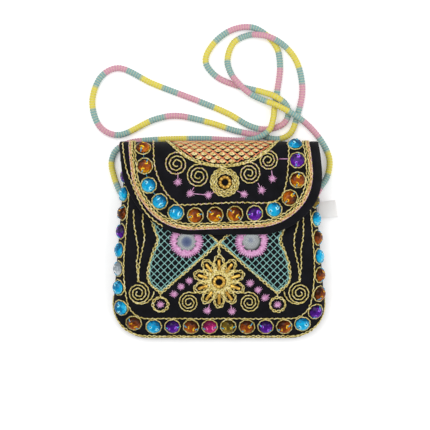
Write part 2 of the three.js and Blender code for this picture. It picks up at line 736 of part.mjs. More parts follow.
// Gold cord on the flap: edge band, stone rings, inner line, fan edge, spirals and rosette
function flapGold() {
  const band = flapBorder(BAND_INSET, FLAP_TOP - BAND_END);
  const line = flapBorder(FLAP_LINE_INSET, MOUTH + FOLD_LENGTH * 0.5);
  const pieces = [
    ridge(stretch(band, band.lengths[0], band.lengths.at(-1), BORDER_STEP), { width: BAND_WIDTH }),
    ridge(stretch(line, line.lengths[0], line.lengths.at(-1), BORDER_STEP)),
    ...stoneRings(flapStonePlaces, flapRing),
  ];
  const across = shares(18).map((s) => FAN_MIDDLE + FAN_HALF * FAN_END * Math.sin((s - 0.5) * Math.PI));
  const edge = across.map((x) => onFlap(x, fanEdge(x)));
  pieces.push(ridge(edge, { width: FAN_EDGE_WIDTH }));
  for (const { spot, radius, start, hand } of FLAP_SPIRALS) {
    const angle = start * Math.PI;
    pieces.push(ridge(spiralPlaces(onFlap, spot, radius, angle, hand)));
    const end = [spot[0] + radius * Math.cos(angle), spot[1] + radius * Math.sin(angle)];
    const edgeX = end[0] + hand * FAN_EDGE_WIDTH;
    pieces.push(ridge(smoothPlaces(onFlap, [end, [edgeX, fanEdge(edgeX)]], 2)));
  }
  const last = FLAP_SPIRALS.at(-1);
  const lineX = flapMiddle(last.spot[1]) + FLAP_HALF_WIDTH - FLAP_SIDE_INSET - FLAP_LINE_INSET;
  const link = [[last.spot[0] + last.radius * 0.65, last.spot[1]], [lineX, last.spot[1]]];
  pieces.push(ridge(smoothPlaces(onFlap, link, 2)));
  const coil = turned([[BEAD_OUTER + SEAT, 0], [ROSETTE_RADIUS, 0], [ROSETTE_RADIUS - 1, ROSETTE_HEIGHT],
    [BEAD_OUTER + SEAT, ROSETTE_HEIGHT], [BEAD_OUTER + SEAT, 0]], 20);
  const { point, normal } = onFlap(...ROSETTE);
  coil.translate(...point.clone().addScaledVector(normal, SEAT).toArray());
  pieces.push(coil);
  return joined(pieces);
}

// A net of thread: diamond cells, each a thin frame round a gap, that share their sides
function net(edge, inside, surface, cellWidth, cellHeight, strand) {
  const cells = largestGroup(diamonds(edge, inside, cellWidth, cellHeight));
  const points = [];
  const known = new Map();
  const vertex = ([x, y], layer) => {
    const key = `${x.toFixed(3)} ${y.toFixed(3)} ${layer}`;
    if (!known.has(key)) {
      const { point, normal } = surface(x, y);
      known.set(key, points.push(point.addScaledVector(normal, COUCH_LIFT + layer * NET_THICKNESS)) - 1);
    }
    return known.get(key);
  };
  const triangles = [];
  const quad = (a, b, c, d) => triangles.push([a, b, c], [a, c, d]);
  const shared = new Set(cells.flatMap((cell) => cell.sides));
  const open = new Set([...shared].filter((side) => (
    cells.filter((cell) => cell.sides.includes(side)).length === 1
  )));
  for (const { middle, corners, sides } of cells) {
    const gap = corners.map(([x, y]) => [
      middle[0] + (x - middle[0]) * (1 - (2 * strand) / cellWidth),
      middle[1] + (y - middle[1]) * (1 - (2 * strand) / cellHeight),
    ]);
    corners.forEach((corner, k) => {
      const next = (k + 1) % 4;
      const [a, b, c, d] = [corner, corners[next], gap[next], gap[k]];
      quad(vertex(a, 1), vertex(b, 1), vertex(c, 1), vertex(d, 1));
      quad(vertex(a, 0), vertex(d, 0), vertex(c, 0), vertex(b, 0));
      quad(vertex(d, 1), vertex(c, 1), vertex(c, 0), vertex(d, 0));
      if (open.has(sides[k])) quad(vertex(a, 1), vertex(a, 0), vertex(b, 0), vertex(b, 1));
    });
  }
  return closedMesh(points, triangles);
}

// The diamond cells whose corners all lie inside an outline, each with the names of its sides
function diamonds(edge, inside, cellWidth, cellHeight) {
  const xs = edge.map((p) => p[0]);
  const ys = edge.map((p) => p[1]);
  const cells = [];
  for (let r = 0; Math.min(...ys) + (r * cellHeight) / 2 < Math.max(...ys); r++) {
    for (let c = 0; Math.min(...xs) + c * cellWidth < Math.max(...xs); c++) {
      const x = Math.min(...xs) + (c + (r % 2) / 2) * cellWidth;
      const y = Math.min(...ys) + (r * cellHeight) / 2;
      const corners = [
        [x - cellWidth / 2, y], [x, y - cellHeight / 2], [x + cellWidth / 2, y], [x, y + cellHeight / 2],
      ];
      if (!corners.every((p) => inside(...p))) continue;
      const sides = corners.map(([ax, ay], k) => {
        const [bx, by] = corners[(k + 1) % 4];
        return `${((ax + bx) / 2).toFixed(2)} ${((ay + by) / 2).toFixed(2)}`;
      });
      cells.push({ middle: [x, y], corners, sides });
    }
  }
  return cells;
}

// The largest group of cells that hang together by their sides
function largestGroup(cells) {
  const left = new Set(cells);
  let largest = [];
  while (left.size > 0) {
    const group = [left.values().next().value];
    left.delete(group[0]);
    for (const cell of group) {
      for (const other of left) {
        if (!other.sides.some((side) => cell.sides.includes(side))) continue;
        group.push(other);
        left.delete(other);
      }
    }
    if (group.length > largest.length) largest = group;
  }
  return largest;
}

// Whether a point lies inside an outline by at least a margin
function insideEdge(edge, margin) {
  return (x, y) => {
    let inside = false;
    let nearest = Infinity;
    edge.forEach(([ax, ay], i) => {
      const [bx, by] = edge[(i + 1) % edge.length];
      if (ay > y !== by > y && x < ((bx - ax) * (y - ay)) / (by - ay) + ax) inside = !inside;
      const [dx, dy] = [bx - ax, by - ay];
      const share = clamp(((x - ax) * dx + (y - ay) * dy) / (dx * dx + dy * dy), 0, 1);
      nearest = Math.min(nearest, Math.hypot(x - ax - dx * share, y - ay - dy * share));
    });
    return inside && nearest >= margin;
  };
}

// Moves an outline in by a distance along the normals of its points
function movedIn(edge, distance) {
  const count = edge.length;
  return edge.map(([x, y], i) => {
    const [ax, ay] = edge[(i + count - 1) % count];
    const [bx, by] = edge[(i + 1) % count];
    const first = new THREE.Vector2(-(y - ay), x - ax).normalize();
    const second = new THREE.Vector2(-(by - y), bx - x).normalize();
    const mitre = first.clone().add(second).normalize();
    const reach = distance / Math.max(0.4, mitre.dot(first));
    return [x + mitre.x * reach, y + mitre.y * reach];
  });
}

// The teal net on one side of the front, clear of its gold edge and of the mirror's ring
function sideNet(side) {
  const { inner, outer, top } = netEdge(1);
  const outerLine = new THREE.SplineCurve(outer.map((p) => new THREE.Vector2(...p))).getSpacedPoints(14);
  const innerLine = shares(8).map((s) => [
    inner[1][0] + (inner[0][0] - inner[1][0]) * s, inner[1][1] + (inner[0][1] - inner[1][1]) * s,
  ]);
  const topX = outerLine.at(-1).x;
  const topLine = shares(6).slice(1, -1).map((s) => [NET_INNER + (topX - NET_INNER) * s, top]);
  const start = [NET_INNER, CROSSING[1] + CROSSING_PAST_Y + LINK_LAP];
  const outside = outerLine.map((p) => [p.x, p.y]).reverse();
  const ring = [start, ...topLine, ...outside, ...innerLine.slice(1)];
  const clockwise = THREE.ShapeUtils.isClockWise(ring.map((p) => new THREE.Vector2(...p)));
  const edge = movedIn(clockwise ? ring.slice().reverse() : ring, CORD_WIDTH / 2 + 2 * SEAT);
  const clear = insideEdge(edge, 0);
  const hole = MIRROR_RING_OUTER + 2 * SEAT;
  const inside = (x, y) => clear(x, y)
    && Math.hypot(x - MIRROR[0], y - MIRROR[1]) > hole;
  const lattice = net(edge, inside, onFront, NET_CELL, NET_CELL, NET_STRAND);
  return side > 0 ? lattice : mirrored(lattice);
}

// The same piece on the other side of the bag's middle
function mirrored(geometry) {
  const other = mergeVertices(geometry.clone().scale(-1, 1, 1));
  const index = other.index.array;
  for (let i = 0; i < index.length; i += 3) [index[i], index[i + 1]] = [index[i + 1], index[i]];
  return other;
}

// The orange net of the fan at the flap's top, inside its gold edge
function fanNet() {
  const half = FAN_HALF - FAN_NET_SIDE;
  const across = shares(14).map((s) => FAN_MIDDLE + half * (2 * s - 1));
  const low = across.map((x) => [x, fanEdge(x) + FAN_NET_GAP]);
  const top = FAN_TOP - FAN_NET_TOP;
  const topHalf = half - 3;
  const high = shares(10).map((s) => [FAN_MIDDLE + topHalf * (1 - 2 * s), top]);
  const edge = [...low.filter(([, v]) => v < top - 0.5), ...high];
  return net(edge, insideEdge(edge, 0), onFlap, FAN_CELL_WIDTH, FAN_CELL_HEIGHT, FAN_STRAND);
}

// A mirror, and the ring of thread that laps over its rim and holds it down
function mirrorDisc() {
  return turned([[0, 0], [MIRROR_RADIUS, 0], [MIRROR_RADIUS, MIRROR_THICKNESS], [0, MIRROR_THICKNESS]], 16);
}

function mirrorRing() {
  const inner = MIRROR_RADIUS + SEAT;
  const lip = MIRROR_RADIUS - MIRROR_LIP;
  const over = MIRROR_THICKNESS + SEAT;
  return turned([
    [inner, 0], [MIRROR_RING_OUTER, 0], [MIRROR_RING_OUTER - 0.7, MIRROR_RING_HEIGHT * 0.6],
    [inner, MIRROR_RING_HEIGHT], [lip, MIRROR_RING_HEIGHT * 0.9], [lip, over], [inner, over], [inner, 0],
  ], 16);
}

// A ring-shaped gold bead at the middle of a motif
function ringBead() {
  const middle = (BEAD_OUTER + BEAD_HOLE) / 2;
  return turned([
    [BEAD_HOLE, 0], [BEAD_OUTER, 0], [BEAD_OUTER, BEAD_HEIGHT / 2], [middle, BEAD_HEIGHT],
    [BEAD_HOLE, BEAD_HEIGHT / 2], [BEAD_HOLE, 0],
  ], 10);
}

// The press stud that holds the flap down: a socket on the front and a stud under the flap
const STUD_PLACE = [FLAP_LEAN, FLAP_BOTTOM + FLAP_STONE_INSET];

function studSocket() {
  const hole = STUD_NUB_RADIUS + STUD_PLAY;
  return turned([[hole, 0], [STUD_RADIUS, 0], [STUD_RADIUS, STUD_BASE], [hole, STUD_BASE], [hole, 0]], 16);
}

function stud() {
  return turned([[0, 0], [STUD_RADIUS, 0], [STUD_RADIUS, STUD_BASE], [STUD_NUB_RADIUS, STUD_BASE],
    [STUD_NUB_RADIUS, STUD_BASE + STUD_NUB], [0, STUD_BASE + STUD_NUB]], 16);
}

// The sewn-in cloth tag: a folded loop of ribbon that stands out of the side seam
function tag() {
  const start = sideHalf(TAG_Y - TAG_WIDTH / 2) + SEAT;
  const end = start + TAG_LENGTH;
  const outer = TAG_LOOP / 2;
  const shape = new THREE.Shape();
  shape.moveTo(start, -outer);
  shape.lineTo(end - outer, -outer);
  shape.absarc(end - outer, 0, outer, -Math.PI / 2, Math.PI / 2, false);
  shape.lineTo(start, outer);
  shape.lineTo(start, outer - TAG_PLY);
  shape.lineTo(end - outer, outer - TAG_PLY);
  shape.absarc(end - outer, 0, outer - TAG_PLY, Math.PI / 2, -Math.PI / 2, true);
  shape.lineTo(start, -outer + TAG_PLY);
  const loop = new THREE.ExtrudeGeometry(shape, { depth: TAG_WIDTH, bevelEnabled: false, curveSegments: 3 });
  return loop.rotateX(Math.PI / 2).translate(0, TAG_Y + TAG_WIDTH / 2, SEAM_HEIGHT - CLOTH);
}

// The strap: one wrapped cord from the left side seam to the right, laid on the table in loops.
// Its points are where the cord lies, with low humps where it passes over itself.
const STRAP_ROUTE = [
  // from the left seam, round the corner and along the fold
  [-85.1, 43, 7.6], [-89.6, 55, 4.2], [-91.6, 66, 2.8], [-87.8, 76, 2.8], [-78, 82.2, 2.8],
  [-56, 85.2, 2.8], [-14, 86.2, 2.8], [20, 84.8, 3.4], [34, 87.2, 8.6], [43, 94, 9],
  [46, 103, 7.8], [47.4, 113, 2.9],
  // the inner loop
  [49.8, 128, 2.8], [52, 148, 2.8], [49.5, 163, 2.8], [41, 174, 2.8], [28, 181.2, 2.8],
  [10, 178.5, 2.8], [-6, 165.5, 2.8], [-11.4, 152, 2.8], [-2.5, 139.5, 2.8], [17, 131, 2.8],
  [37, 126, 5.2], [48.6, 121.6, 8.5], [56.8, 115.4, 5.6], [59, 107, 2.8], [55.6, 99.6, 2.8],
  // the left loop
  [48, 95.6, 2.8], [38, 94.2, 2.8], [26, 97.2, 2.8], [8, 107.5, 2.8], [-18, 118.5, 2.8],
  [-56, 133, 2.8], [-86, 146.4, 2.8], [-100.5, 139, 2.8], [-108, 117, 2.8], [-101, 96, 2.8],
  [-86, 89.4, 2.8], [-55, 102.6, 2.8], [-37, 105.8, 2.8], [-8, 100, 2.8], [14, 93, 2.8],
  [36, 88.6, 2.8], [50, 85.9, 2.8], [60.5, 90.5, 2.8],
  // the outer loop and down to the right seam
  [67, 107, 2.8], [71, 128, 2.8], [66.5, 151, 2.8], [57, 164, 4.8], [44, 172.2, 8.8],
  [35, 174.4, 7.4], [25, 174.4, 3], [12.5, 168, 2.8], [7.2, 153, 2.8], [10.6, 141, 6],
  [18, 131.6, 8.8], [27, 124, 8.2], [38, 118.8, 7.2], [48, 115, 8.7], [58.5, 109.6, 9.6],
  [67, 104.4, 8.8], [77, 96.4, 4.4], [87.6, 83.5, 2.8], [94, 69, 2.8], [92.4, 55, 4.2],
  [85.3, 43, 7.6],
];

function strap() {
  const route = new THREE.CatmullRomCurve3(STRAP_ROUTE.map((p) => at(...p)), false, 'centripetal');
  route.arcLengthDivisions = 4000;
  const section = new THREE.Shape().absarc(0, 0, STRAP_DIAMETER / 2, 0, 2 * Math.PI, false);
  return new THREE.ExtrudeGeometry(section, {
    extrudePath: route, steps: STRAP_STEPS, curveSegments: STRAP_SIDES / 2, bevelEnabled: false,
  });
}

// The assembly
add('back_panel', backPanel(), 'cloth');
add('front_panel', frontPanel(), 'cloth');
add('flap', flapPanel(), 'cloth');
addStones('flap', FLAP_STONES, flapStonePlaces);
addStones('front', FRONT_STONES, frontStonePlaces);
add('front_gold_cord', frontGold(), 'gold', { roughness: 0.45, metalness: 0.6 });
add('seam_cord', seamCord(), 'gold', { roughness: 0.45, metalness: 0.6 });
add('flap_gold_cord', flapGold(), 'gold', { roughness: 0.45, metalness: 0.6 });
add('fan_net', fanNet(), 'orange');
for (const [word, side] of [['left', -1], ['right', 1]]) {
  add(`net_${word}`, sideNet(side), 'teal');
  const place = onFront(side * MIRROR[0], MIRROR[1]);
  seat(add(`mirror_${word}`, mirrorDisc(), 'mirror', { roughness: 0.05, metalness: 1 }), place);
  seat(add(`mirror_ring_${word}`, mirrorRing(), 'pink'), place);
}
seat(add('flap_bead', ringBead(), 'bead', { roughness: 0.25, metalness: 0.9 }), onFlap(...ROSETTE));
seat(add('flower_bead', ringBead(), 'bead', { roughness: 0.25, metalness: 0.9 }), onFront(...FLOWER));
seat(add('stud_socket', studSocket(), 'steel', { roughness: 0.3, metalness: 1 }), onFront(...STUD_PLACE));
const studUnder = underFlap(...STUD_PLACE);
seat(add('stud', stud(), 'steel', { roughness: 0.3, metalness: 1 }), {
  point: studUnder.point, normal: studUnder.normal.clone().negate(),
});
add('tag', tag(), 'tag');
add('strap', strap(), 'strap', { roughness: 0.8 });

export default bag;
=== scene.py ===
# %% [markdown]
# # An embroidered flap bag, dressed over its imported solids
# The bag lies on its back on a white table and is seen from straight above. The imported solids
# give every place and size. This lesson replaces the plain solids with cloth, twisted gold
# cord, sewn-on stones, thread nets and a wrapped strap. Each of them is a surface worked out
# with numpy, in millimetres, and turned into metres when its mesh is made. Painted patterns would
# look much the same from above, but real surfaces keep their looks from every side and in a mesh
# file.

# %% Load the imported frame
import bpy
import bmesh
import numpy as np
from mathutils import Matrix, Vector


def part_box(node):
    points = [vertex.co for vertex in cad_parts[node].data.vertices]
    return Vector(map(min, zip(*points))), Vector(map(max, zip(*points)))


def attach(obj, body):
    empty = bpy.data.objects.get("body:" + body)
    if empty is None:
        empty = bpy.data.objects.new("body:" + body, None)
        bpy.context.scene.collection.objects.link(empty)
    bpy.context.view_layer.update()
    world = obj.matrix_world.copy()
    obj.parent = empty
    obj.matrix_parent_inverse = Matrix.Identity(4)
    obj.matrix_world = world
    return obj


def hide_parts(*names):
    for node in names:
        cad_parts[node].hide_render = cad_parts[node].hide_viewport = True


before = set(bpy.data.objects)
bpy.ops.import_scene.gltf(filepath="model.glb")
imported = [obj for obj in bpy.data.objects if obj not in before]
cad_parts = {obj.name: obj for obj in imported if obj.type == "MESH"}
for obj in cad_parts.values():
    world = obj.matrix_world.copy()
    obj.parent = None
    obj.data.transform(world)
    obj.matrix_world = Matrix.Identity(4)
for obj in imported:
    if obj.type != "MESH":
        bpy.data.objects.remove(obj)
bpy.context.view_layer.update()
MM = 0.001
PI = np.pi
rng = np.random.default_rng(7)


def box_mm(node):
    """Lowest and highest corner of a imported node, in millimetres."""
    low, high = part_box(node)
    return np.array(low) / MM, np.array(high) / MM


front_low, front_high = box_mm("front_panel")
flap_low, _ = box_mm("flap")
print("front panel", front_low.round(1), front_high.round(1))

# %% [markdown]
# ## The camera and the table
# The photograph looks straight down, so the camera hangs over the bag and looks along -Z. A
# far camera with a long lens keeps the perspective as mild as the photograph's. One pixel of
# the 430-pixel frame is 0.85 mm at the height of the bag's seam.

# %% Hang the camera
FRAME_PIXELS = 430
MM_PER_PIXEL = 0.85
ORIGIN_PIXEL = np.array([219.0, 240.0])
CAMERA_HEIGHT = 2000.0
SENSOR = 36.0
SEAM = front_low[2]

frame_width = FRAME_PIXELS * MM_PER_PIXEL
centre_x = (FRAME_PIXELS / 2 - ORIGIN_PIXEL[0]) * MM_PER_PIXEL
centre_y = (ORIGIN_PIXEL[1] - FRAME_PIXELS / 2) * MM_PER_PIXEL
camera_data = bpy.data.cameras.new("camera")
camera_data.sensor_width = SENSOR
camera_data.lens = SENSOR * (CAMERA_HEIGHT - SEAM) / frame_width
camera = bpy.data.objects.new("camera", camera_data)
camera.location = (centre_x * MM, centre_y * MM, CAMERA_HEIGHT * MM)
bpy.context.collection.objects.link(camera)
bpy.context.scene.camera = camera
bpy.context.scene.view_settings.view_transform = "Standard"
print("lens", round(camera_data.lens, 1), "mm")

# %% [markdown]
# ## Making a mesh, a colour and a material
# Three small helpers carry the whole lesson. One turns arrays into a piece that rides on the
# bag. One turns an sRGB hex value into the linear colour that a shader wants. One adds a node
# with its settings and links.

# %% Helpers for meshes
WELD_DISTANCE = 2e-6


def make_piece(name, parts, material, smooth=True, weld=False):
    """One mesh from parts, each (points in mm, list of faces). It rides on the bag's one body."""
    points = np.vstack([p for p, _ in parts])
    starts = np.cumsum([0] + [len(p) for p, _ in parts[:-1]])
    faces = []
    for start, (_, part_faces) in zip(starts, parts):
        for group in part_faces:
            faces.extend((np.asarray(group) + start).tolist())
    mesh = bpy.data.meshes.new(name)
    mesh.from_pydata((points * MM).tolist(), [], faces)
    if weld:
        shape = bmesh.new()
        shape.from_mesh(mesh)
        bmesh.ops.remove_doubles(shape, verts=shape.verts, dist=WELD_DISTANCE)
        bmesh.ops.recalc_face_normals(shape, faces=shape.faces)
        shape.to_mesh(mesh)
        shape.free()
    mesh.polygons.foreach_set("use_smooth", np.full(len(mesh.polygons), smooth))
    mesh.materials.append(material)
    mesh.update()
    piece = bpy.data.objects.new(name, mesh)
    bpy.context.collection.objects.link(piece)
    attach(piece, "root")
    triangles = sum(len(p.vertices) - 2 for p in mesh.polygons)
    print(name, len(mesh.vertices), "points,", triangles, "triangles")
    return piece


def grid_faces(rows, columns, wrap_rows=False, wrap_columns=False):
    """The quads of a grid of points stored row by row, joined end to end where it wraps."""
    r = np.arange(rows if wrap_rows else rows - 1)
    c = np.arange(columns if wrap_columns else columns - 1)
    r, c = [a.ravel() for a in np.meshgrid(r, c, indexing="ij")]
    r2, c2 = (r + 1) % rows, (c + 1) % columns
    return np.stack([r * columns + c, r * columns + c2, r2 * columns + c2, r2 * columns + c], 1)


print("a grid of 3 by 4 points has", len(grid_faces(3, 4)), "quads")

# %% Helpers for materials


def linear(hex_value):
    """An sRGB hex value as linear red, green, blue and alpha."""
    value = np.array([int(hex_value[i:i + 2], 16) for i in (1, 3, 5)]) / 255
    low = value / 12.92
    high = ((value + 0.055) / 1.055) ** 2.4
    return (*np.where(value <= 0.04045, low, high).tolist(), 1.0)


def new_material(name):
    """An empty material with its Principled shader."""
    material = bpy.data.materials.new(name)
    material.use_nodes = True
    return material, material.node_tree.nodes["Principled BSDF"]


def add_node(material, kind, inputs=None, to=None, stops=(), **settings):
    """Adds a node with its properties, inputs and ramp stops, and links its first output onward."""
    tree = material.node_tree
    node = tree.nodes.new(kind)
    for key, value in settings.items():
        setattr(node, key, value)
    for key, value in (inputs or {}).items():
        if isinstance(value, bpy.types.NodeSocket):
            tree.links.new(value, node.inputs[key])
        else:
            node.inputs[key].default_value = value
    if stops:
        elements = node.color_ramp.elements
        while len(elements) < len(stops):
            elements.new(0.5)
        for element, (position, colour) in zip(elements, stops):
            element.position = position
            element.color = linear(colour)
    if to is not None:
        tree.links.new(node.outputs[0], to)
    return node


print("mid grey is", round(linear("#808080")[0], 3), "in linear colour")

# %% [markdown]
# ## The shape of the cloth
# The front is a stuffed panel: a quarter round at each side and a slow rise from the bottom
# seam. The flap lies over it and turns over the mouth in a half round. These are the same
# formulas that shaped the solids, so all the embroidery finds its place on them.

# %% Sizes of the body and the flap
SIDE_TAPER = 9.5
CORNER_RADIUS = 32.0
SIDE_ROUND = 20.0
FRONT_RISE = 75.0
BACK_ROUND = 25.0
CLOTH = 2.0
FOLD_REACH = 17.3
FLAP_HALF_WIDTH = 84.0
FLAP_CORNER = 56.0
FLAP_LEAN = 5.0
FLAP_THICKNESS = 2.6
FLAP_GAP = 3.7
FLAP_OVERHANG = 9.0
FLAP_TILT = 4.5
FLAP_TILT_END = 35.0
FLAP_SIDE_INSET = 2.0
SEAT = 0.3
WRINKLE_DEPTH = 0.22
WRINKLE_WAVES = 9
WRINKLE_SPREAD = (0.7, 2.2)
FRONT_WRINKLE = 26
FRONT_WRINKLE_SEED = 3
FLAP_WRINKLE = 30
FLAP_WRINKLE_SEED = 5
CALM_EDGE = 12.0

BAG_WIDTH = front_high[0] - front_low[0]
BOTTOM = front_low[1]
MOUTH = front_high[1]
BODY_DEPTH = front_high[2]
FLAP_BOTTOM = flap_low[1]
TOP = MOUTH + FOLD_REACH
WIDE_Y = BOTTOM + CORNER_RADIUS
FOLD_LENGTH = PI * FOLD_REACH
FLAP_TOP = MOUTH + FOLD_LENGTH
print("body", round(BAG_WIDTH, 1), "mm wide, flap", round(TOP - FLAP_BOTTOM, 1), "mm high")

# %% Surfaces of the front and the back


def side_half(y):
    """Half width of the straight sides, tapering from the lower corners to the mouth."""
    return BAG_WIDTH / 2 - SIDE_TAPER * (y - WIDE_Y) / (MOUTH - WIDE_Y)


def outline_half(y):
    """Half width of the outline: the sides less a round corner at the bottom."""
    below = np.clip(WIDE_Y - y, 0, CORNER_RADIUS)
    return side_half(y) - CORNER_RADIUS + np.sqrt(CORNER_RADIUS**2 - below**2)


def quarter_round(distance, reach):
    """Rises as a quarter circle from 0 at the edge to 1 at a reach."""
    left = np.clip(1 - distance / reach, 0, 1)
    return np.sqrt(1 - left**2)


def crown(y):
    """Height of the front's middle line: a quarter sine from the bottom seam."""
    share = np.clip((y - BOTTOM) / FRONT_RISE, 0, 1)
    return SEAM + (BODY_DEPTH - SEAM) * np.sin(share * PI / 2)


def wrinkles(a, b, size, depth, seed):
    """Slow waves: a sum of sines in random directions, a size long and about a depth high."""
    picks = np.random.default_rng(seed)
    total = np.zeros(np.broadcast(a, b).shape)
    for _ in range(WRINKLE_WAVES):
        heading, phase = picks.uniform(0, 2 * PI, 2)
        length = size * picks.uniform(*WRINKLE_SPREAD)
        along = a * np.cos(heading) + b * np.sin(heading)
        total = total + np.sin(2 * PI * along / length + phase)
    return depth * total / np.sqrt(WRINKLE_WAVES)


def front_height(x, y):
    """Height of the front: the crown, rounded down to the seam at each side, with slow wrinkles."""
    inside = outline_half(y) - np.abs(x)
    calm = quarter_round(inside, 2 * SIDE_ROUND) * np.clip((y - BOTTOM) / CALM_EDGE, 0, 1)
    smooth = SEAM + (crown(y) - SEAM) * quarter_round(inside, SIDE_ROUND)
    return smooth + calm * wrinkles(x, y, FRONT_WRINKLE, WRINKLE_DEPTH, FRONT_WRINKLE_SEED)


def back_height(x, y):
    """Height of the back: flat on the table, rising as a parabola to the seam."""
    edge = SEAM - SEAT - CLOTH
    side = np.clip(1 - (outline_half(y) - np.abs(x)) / BACK_ROUND, 0, 1) ** 2
    end = np.clip(1 - (y - BOTTOM) / BACK_ROUND, 0, 1) ** 2
    return edge * np.minimum(1, side + end)


def front_point(x, y):
    """A point of the front from its plan place."""
    return np.stack([x, y, front_height(x, y)], -1)


print("front's middle line at the mouth:", front_point(np.array(0.0), np.array(MOUTH)).round(1))

# %% Surface of the flap


def flap_middle(v):
    """Middle line of the flap, leaning to one side towards its lower edge."""
    return FLAP_LEAN * np.clip((TOP - v) / (TOP - FLAP_BOTTOM - FLAP_CORNER / 2), 0, 1)


def flap_half(v):
    """Half width of the flap's cut, with round lower corners. v runs up the unrolled flap."""
    below = np.clip(FLAP_BOTTOM + FLAP_CORNER - v, 0, FLAP_CORNER)
    return FLAP_HALF_WIDTH - FLAP_CORNER + np.sqrt(FLAP_CORNER**2 - below**2)


def flap_under(x, y):
    """Height of the flap's underside over the front."""
    half = side_half(y) + FLAP_OVERHANG
    rise = (crown(y) - SEAM) * quarter_round(half - np.abs(x), SIDE_ROUND)
    return SEAM + rise + FLAP_GAP


def flap_point(x, v, layer=1.0):
    """A point of the flap: on the front up to the mouth, then on a half ellipse over the top."""
    turn = PI * np.clip(v - MOUTH, 0, FOLD_LENGTH) / FOLD_LENGTH
    waves = wrinkles(x, v, FLAP_WRINKLE, WRINKLE_DEPTH, FLAP_WRINKLE_SEED)
    inward = FLAP_THICKNESS * (1 - layer) - waves
    high = flap_under(x, np.minimum(v, MOUTH)) + FLAP_THICKNESS
    edge = side_half(MOUTH)
    low = back_height(np.clip(x, -edge, edge), MOUTH)
    folded_z = (high + low) / 2 + ((high - low) / 2 - inward) * np.cos(turn)
    z = np.where(v <= MOUTH, high - inward, folded_z)
    y = np.where(v <= MOUTH, v, MOUTH + (FOLD_REACH - inward) * np.sin(turn))
    return np.stack([x + 0 * z, y, z], -1)


print("flap's top at the mouth:", flap_point(np.array(0.0), np.array(MOUTH)).round(1))

# %% Points and normals of a surface
NORMAL_STEP = 0.02


def place(surface, u, v):
    """Points of a surface, and unit normals: the cross product of its two slopes."""
    along = surface(u + NORMAL_STEP, v) - surface(u - NORMAL_STEP, v)
    up = surface(u, v + NORMAL_STEP) - surface(u, v - NORMAL_STEP)
    normal = np.cross(along, up)
    normal /= np.linalg.norm(normal, axis=-1, keepdims=True)
    return surface(u, v), normal


def unit(vectors):
    """Vectors divided by their lengths."""
    return vectors / np.maximum(np.linalg.norm(vectors, axis=-1, keepdims=True), 1e-9)


print("normal at the front's middle:", place(front_point, np.zeros(1), np.zeros(1))[1].round(2))

# %% [markdown]
# ## Lines on the cloth
# Every couched cord follows a line on the front or on the unrolled flap. A line is a short list
# of points joined by a smooth curve, a spiral, a ring or a border at one inset from the edge.
# Blender's own curves could carry them, but numpy keeps a line's running length at hand, and the
# stones, the stitches and the twist of the thread are all spaced by it.

# %% Smooth lines, spirals and rings
SPIRAL_POINTS = 160
SPIRAL_INNER = 1.6
RING_POINTS = 60


def lengths_along(points):
    """Running length of a polyline, starting at 0."""
    steps = np.linalg.norm(np.diff(points, axis=0), axis=1)
    return np.concatenate([[0], np.cumsum(steps)])


def even_steps(points, step):
    """The same polyline with its points an even step apart."""
    run = lengths_along(points)
    count = max(3, int(round(run[-1] / step)) + 1)
    at = np.linspace(0, run[-1], count)
    return np.stack([np.interp(at, run, points[:, k]) for k in range(points.shape[1])], 1)


def smooth_line(points, centripetal=False, per_span=24):
    """A smooth curve through points: each span is a cubic set by its four neighbours."""
    points = np.asarray(points, float)
    ends = [2 * points[0] - points[1], 2 * points[-1] - points[-2]]
    padded = np.vstack([ends[0], points, ends[1]])
    p0, p1, p2, p3 = padded[:-3], padded[1:-2], padded[2:-1], padded[3:]
    power = 0.25 if centripetal else 0.0
    d = [((b - a) ** 2).sum(1, keepdims=True) ** power for a, b in ((p0, p1), (p1, p2), (p2, p3))]
    t1 = d[1] * ((p1 - p0) / d[0] - (p2 - p0) / (d[0] + d[1]) + (p2 - p1) / d[1])
    t2 = d[1] * ((p2 - p1) / d[1] - (p3 - p1) / (d[1] + d[2]) + (p3 - p2) / d[2])
    t = np.linspace(0, 1, per_span, endpoint=False)[None, :, None]
    p1, p2, t1, t2 = [a[:, None, :] for a in (p1, p2, t1, t2)]
    cubic = (2 * p1 - 2 * p2 + t1 + t2) * t**3
    square = (3 * p2 - 3 * p1 - 2 * t1 - t2) * t**2
    curve = cubic + square + t1 * t + p1
    return np.vstack([curve.reshape(-1, points.shape[1]), points[-1:]])


def spiral_line(middle, radius, start, hand, turns, inner=SPIRAL_INNER):
    """An evenly closing spiral: the reach falls from its outer radius as the angle runs on."""
    share = np.linspace(0, 1, SPIRAL_POINTS)
    reach = radius + (inner - radius) * share
    angle = start * PI + hand * share * turns * 2 * PI
    return np.stack([middle[0] + reach * np.cos(angle), middle[1] + reach * np.sin(angle)], 1)


def ring_line(middle, radius):
    """A circle on the unrolled cloth, without its repeated end point."""
    angle = np.linspace(0, 2 * PI, RING_POINTS, endpoint=False)
    return np.stack([middle[0] + radius * np.cos(angle), middle[1] + radius * np.sin(angle)], 1)


trial = spiral_line((0, 0), 10.0, 0.5, 1, 2.8)
print("a spiral of 10 mm is", lengths_along(trial)[-1].round(1), "mm long")

# %% Borders of the front and the flap
FLAT_POINTS = 60
CORNER_POINTS = 60
SIDE_POINTS = 90
WALK_STEPS = 400
WALK_REACH = 1.5


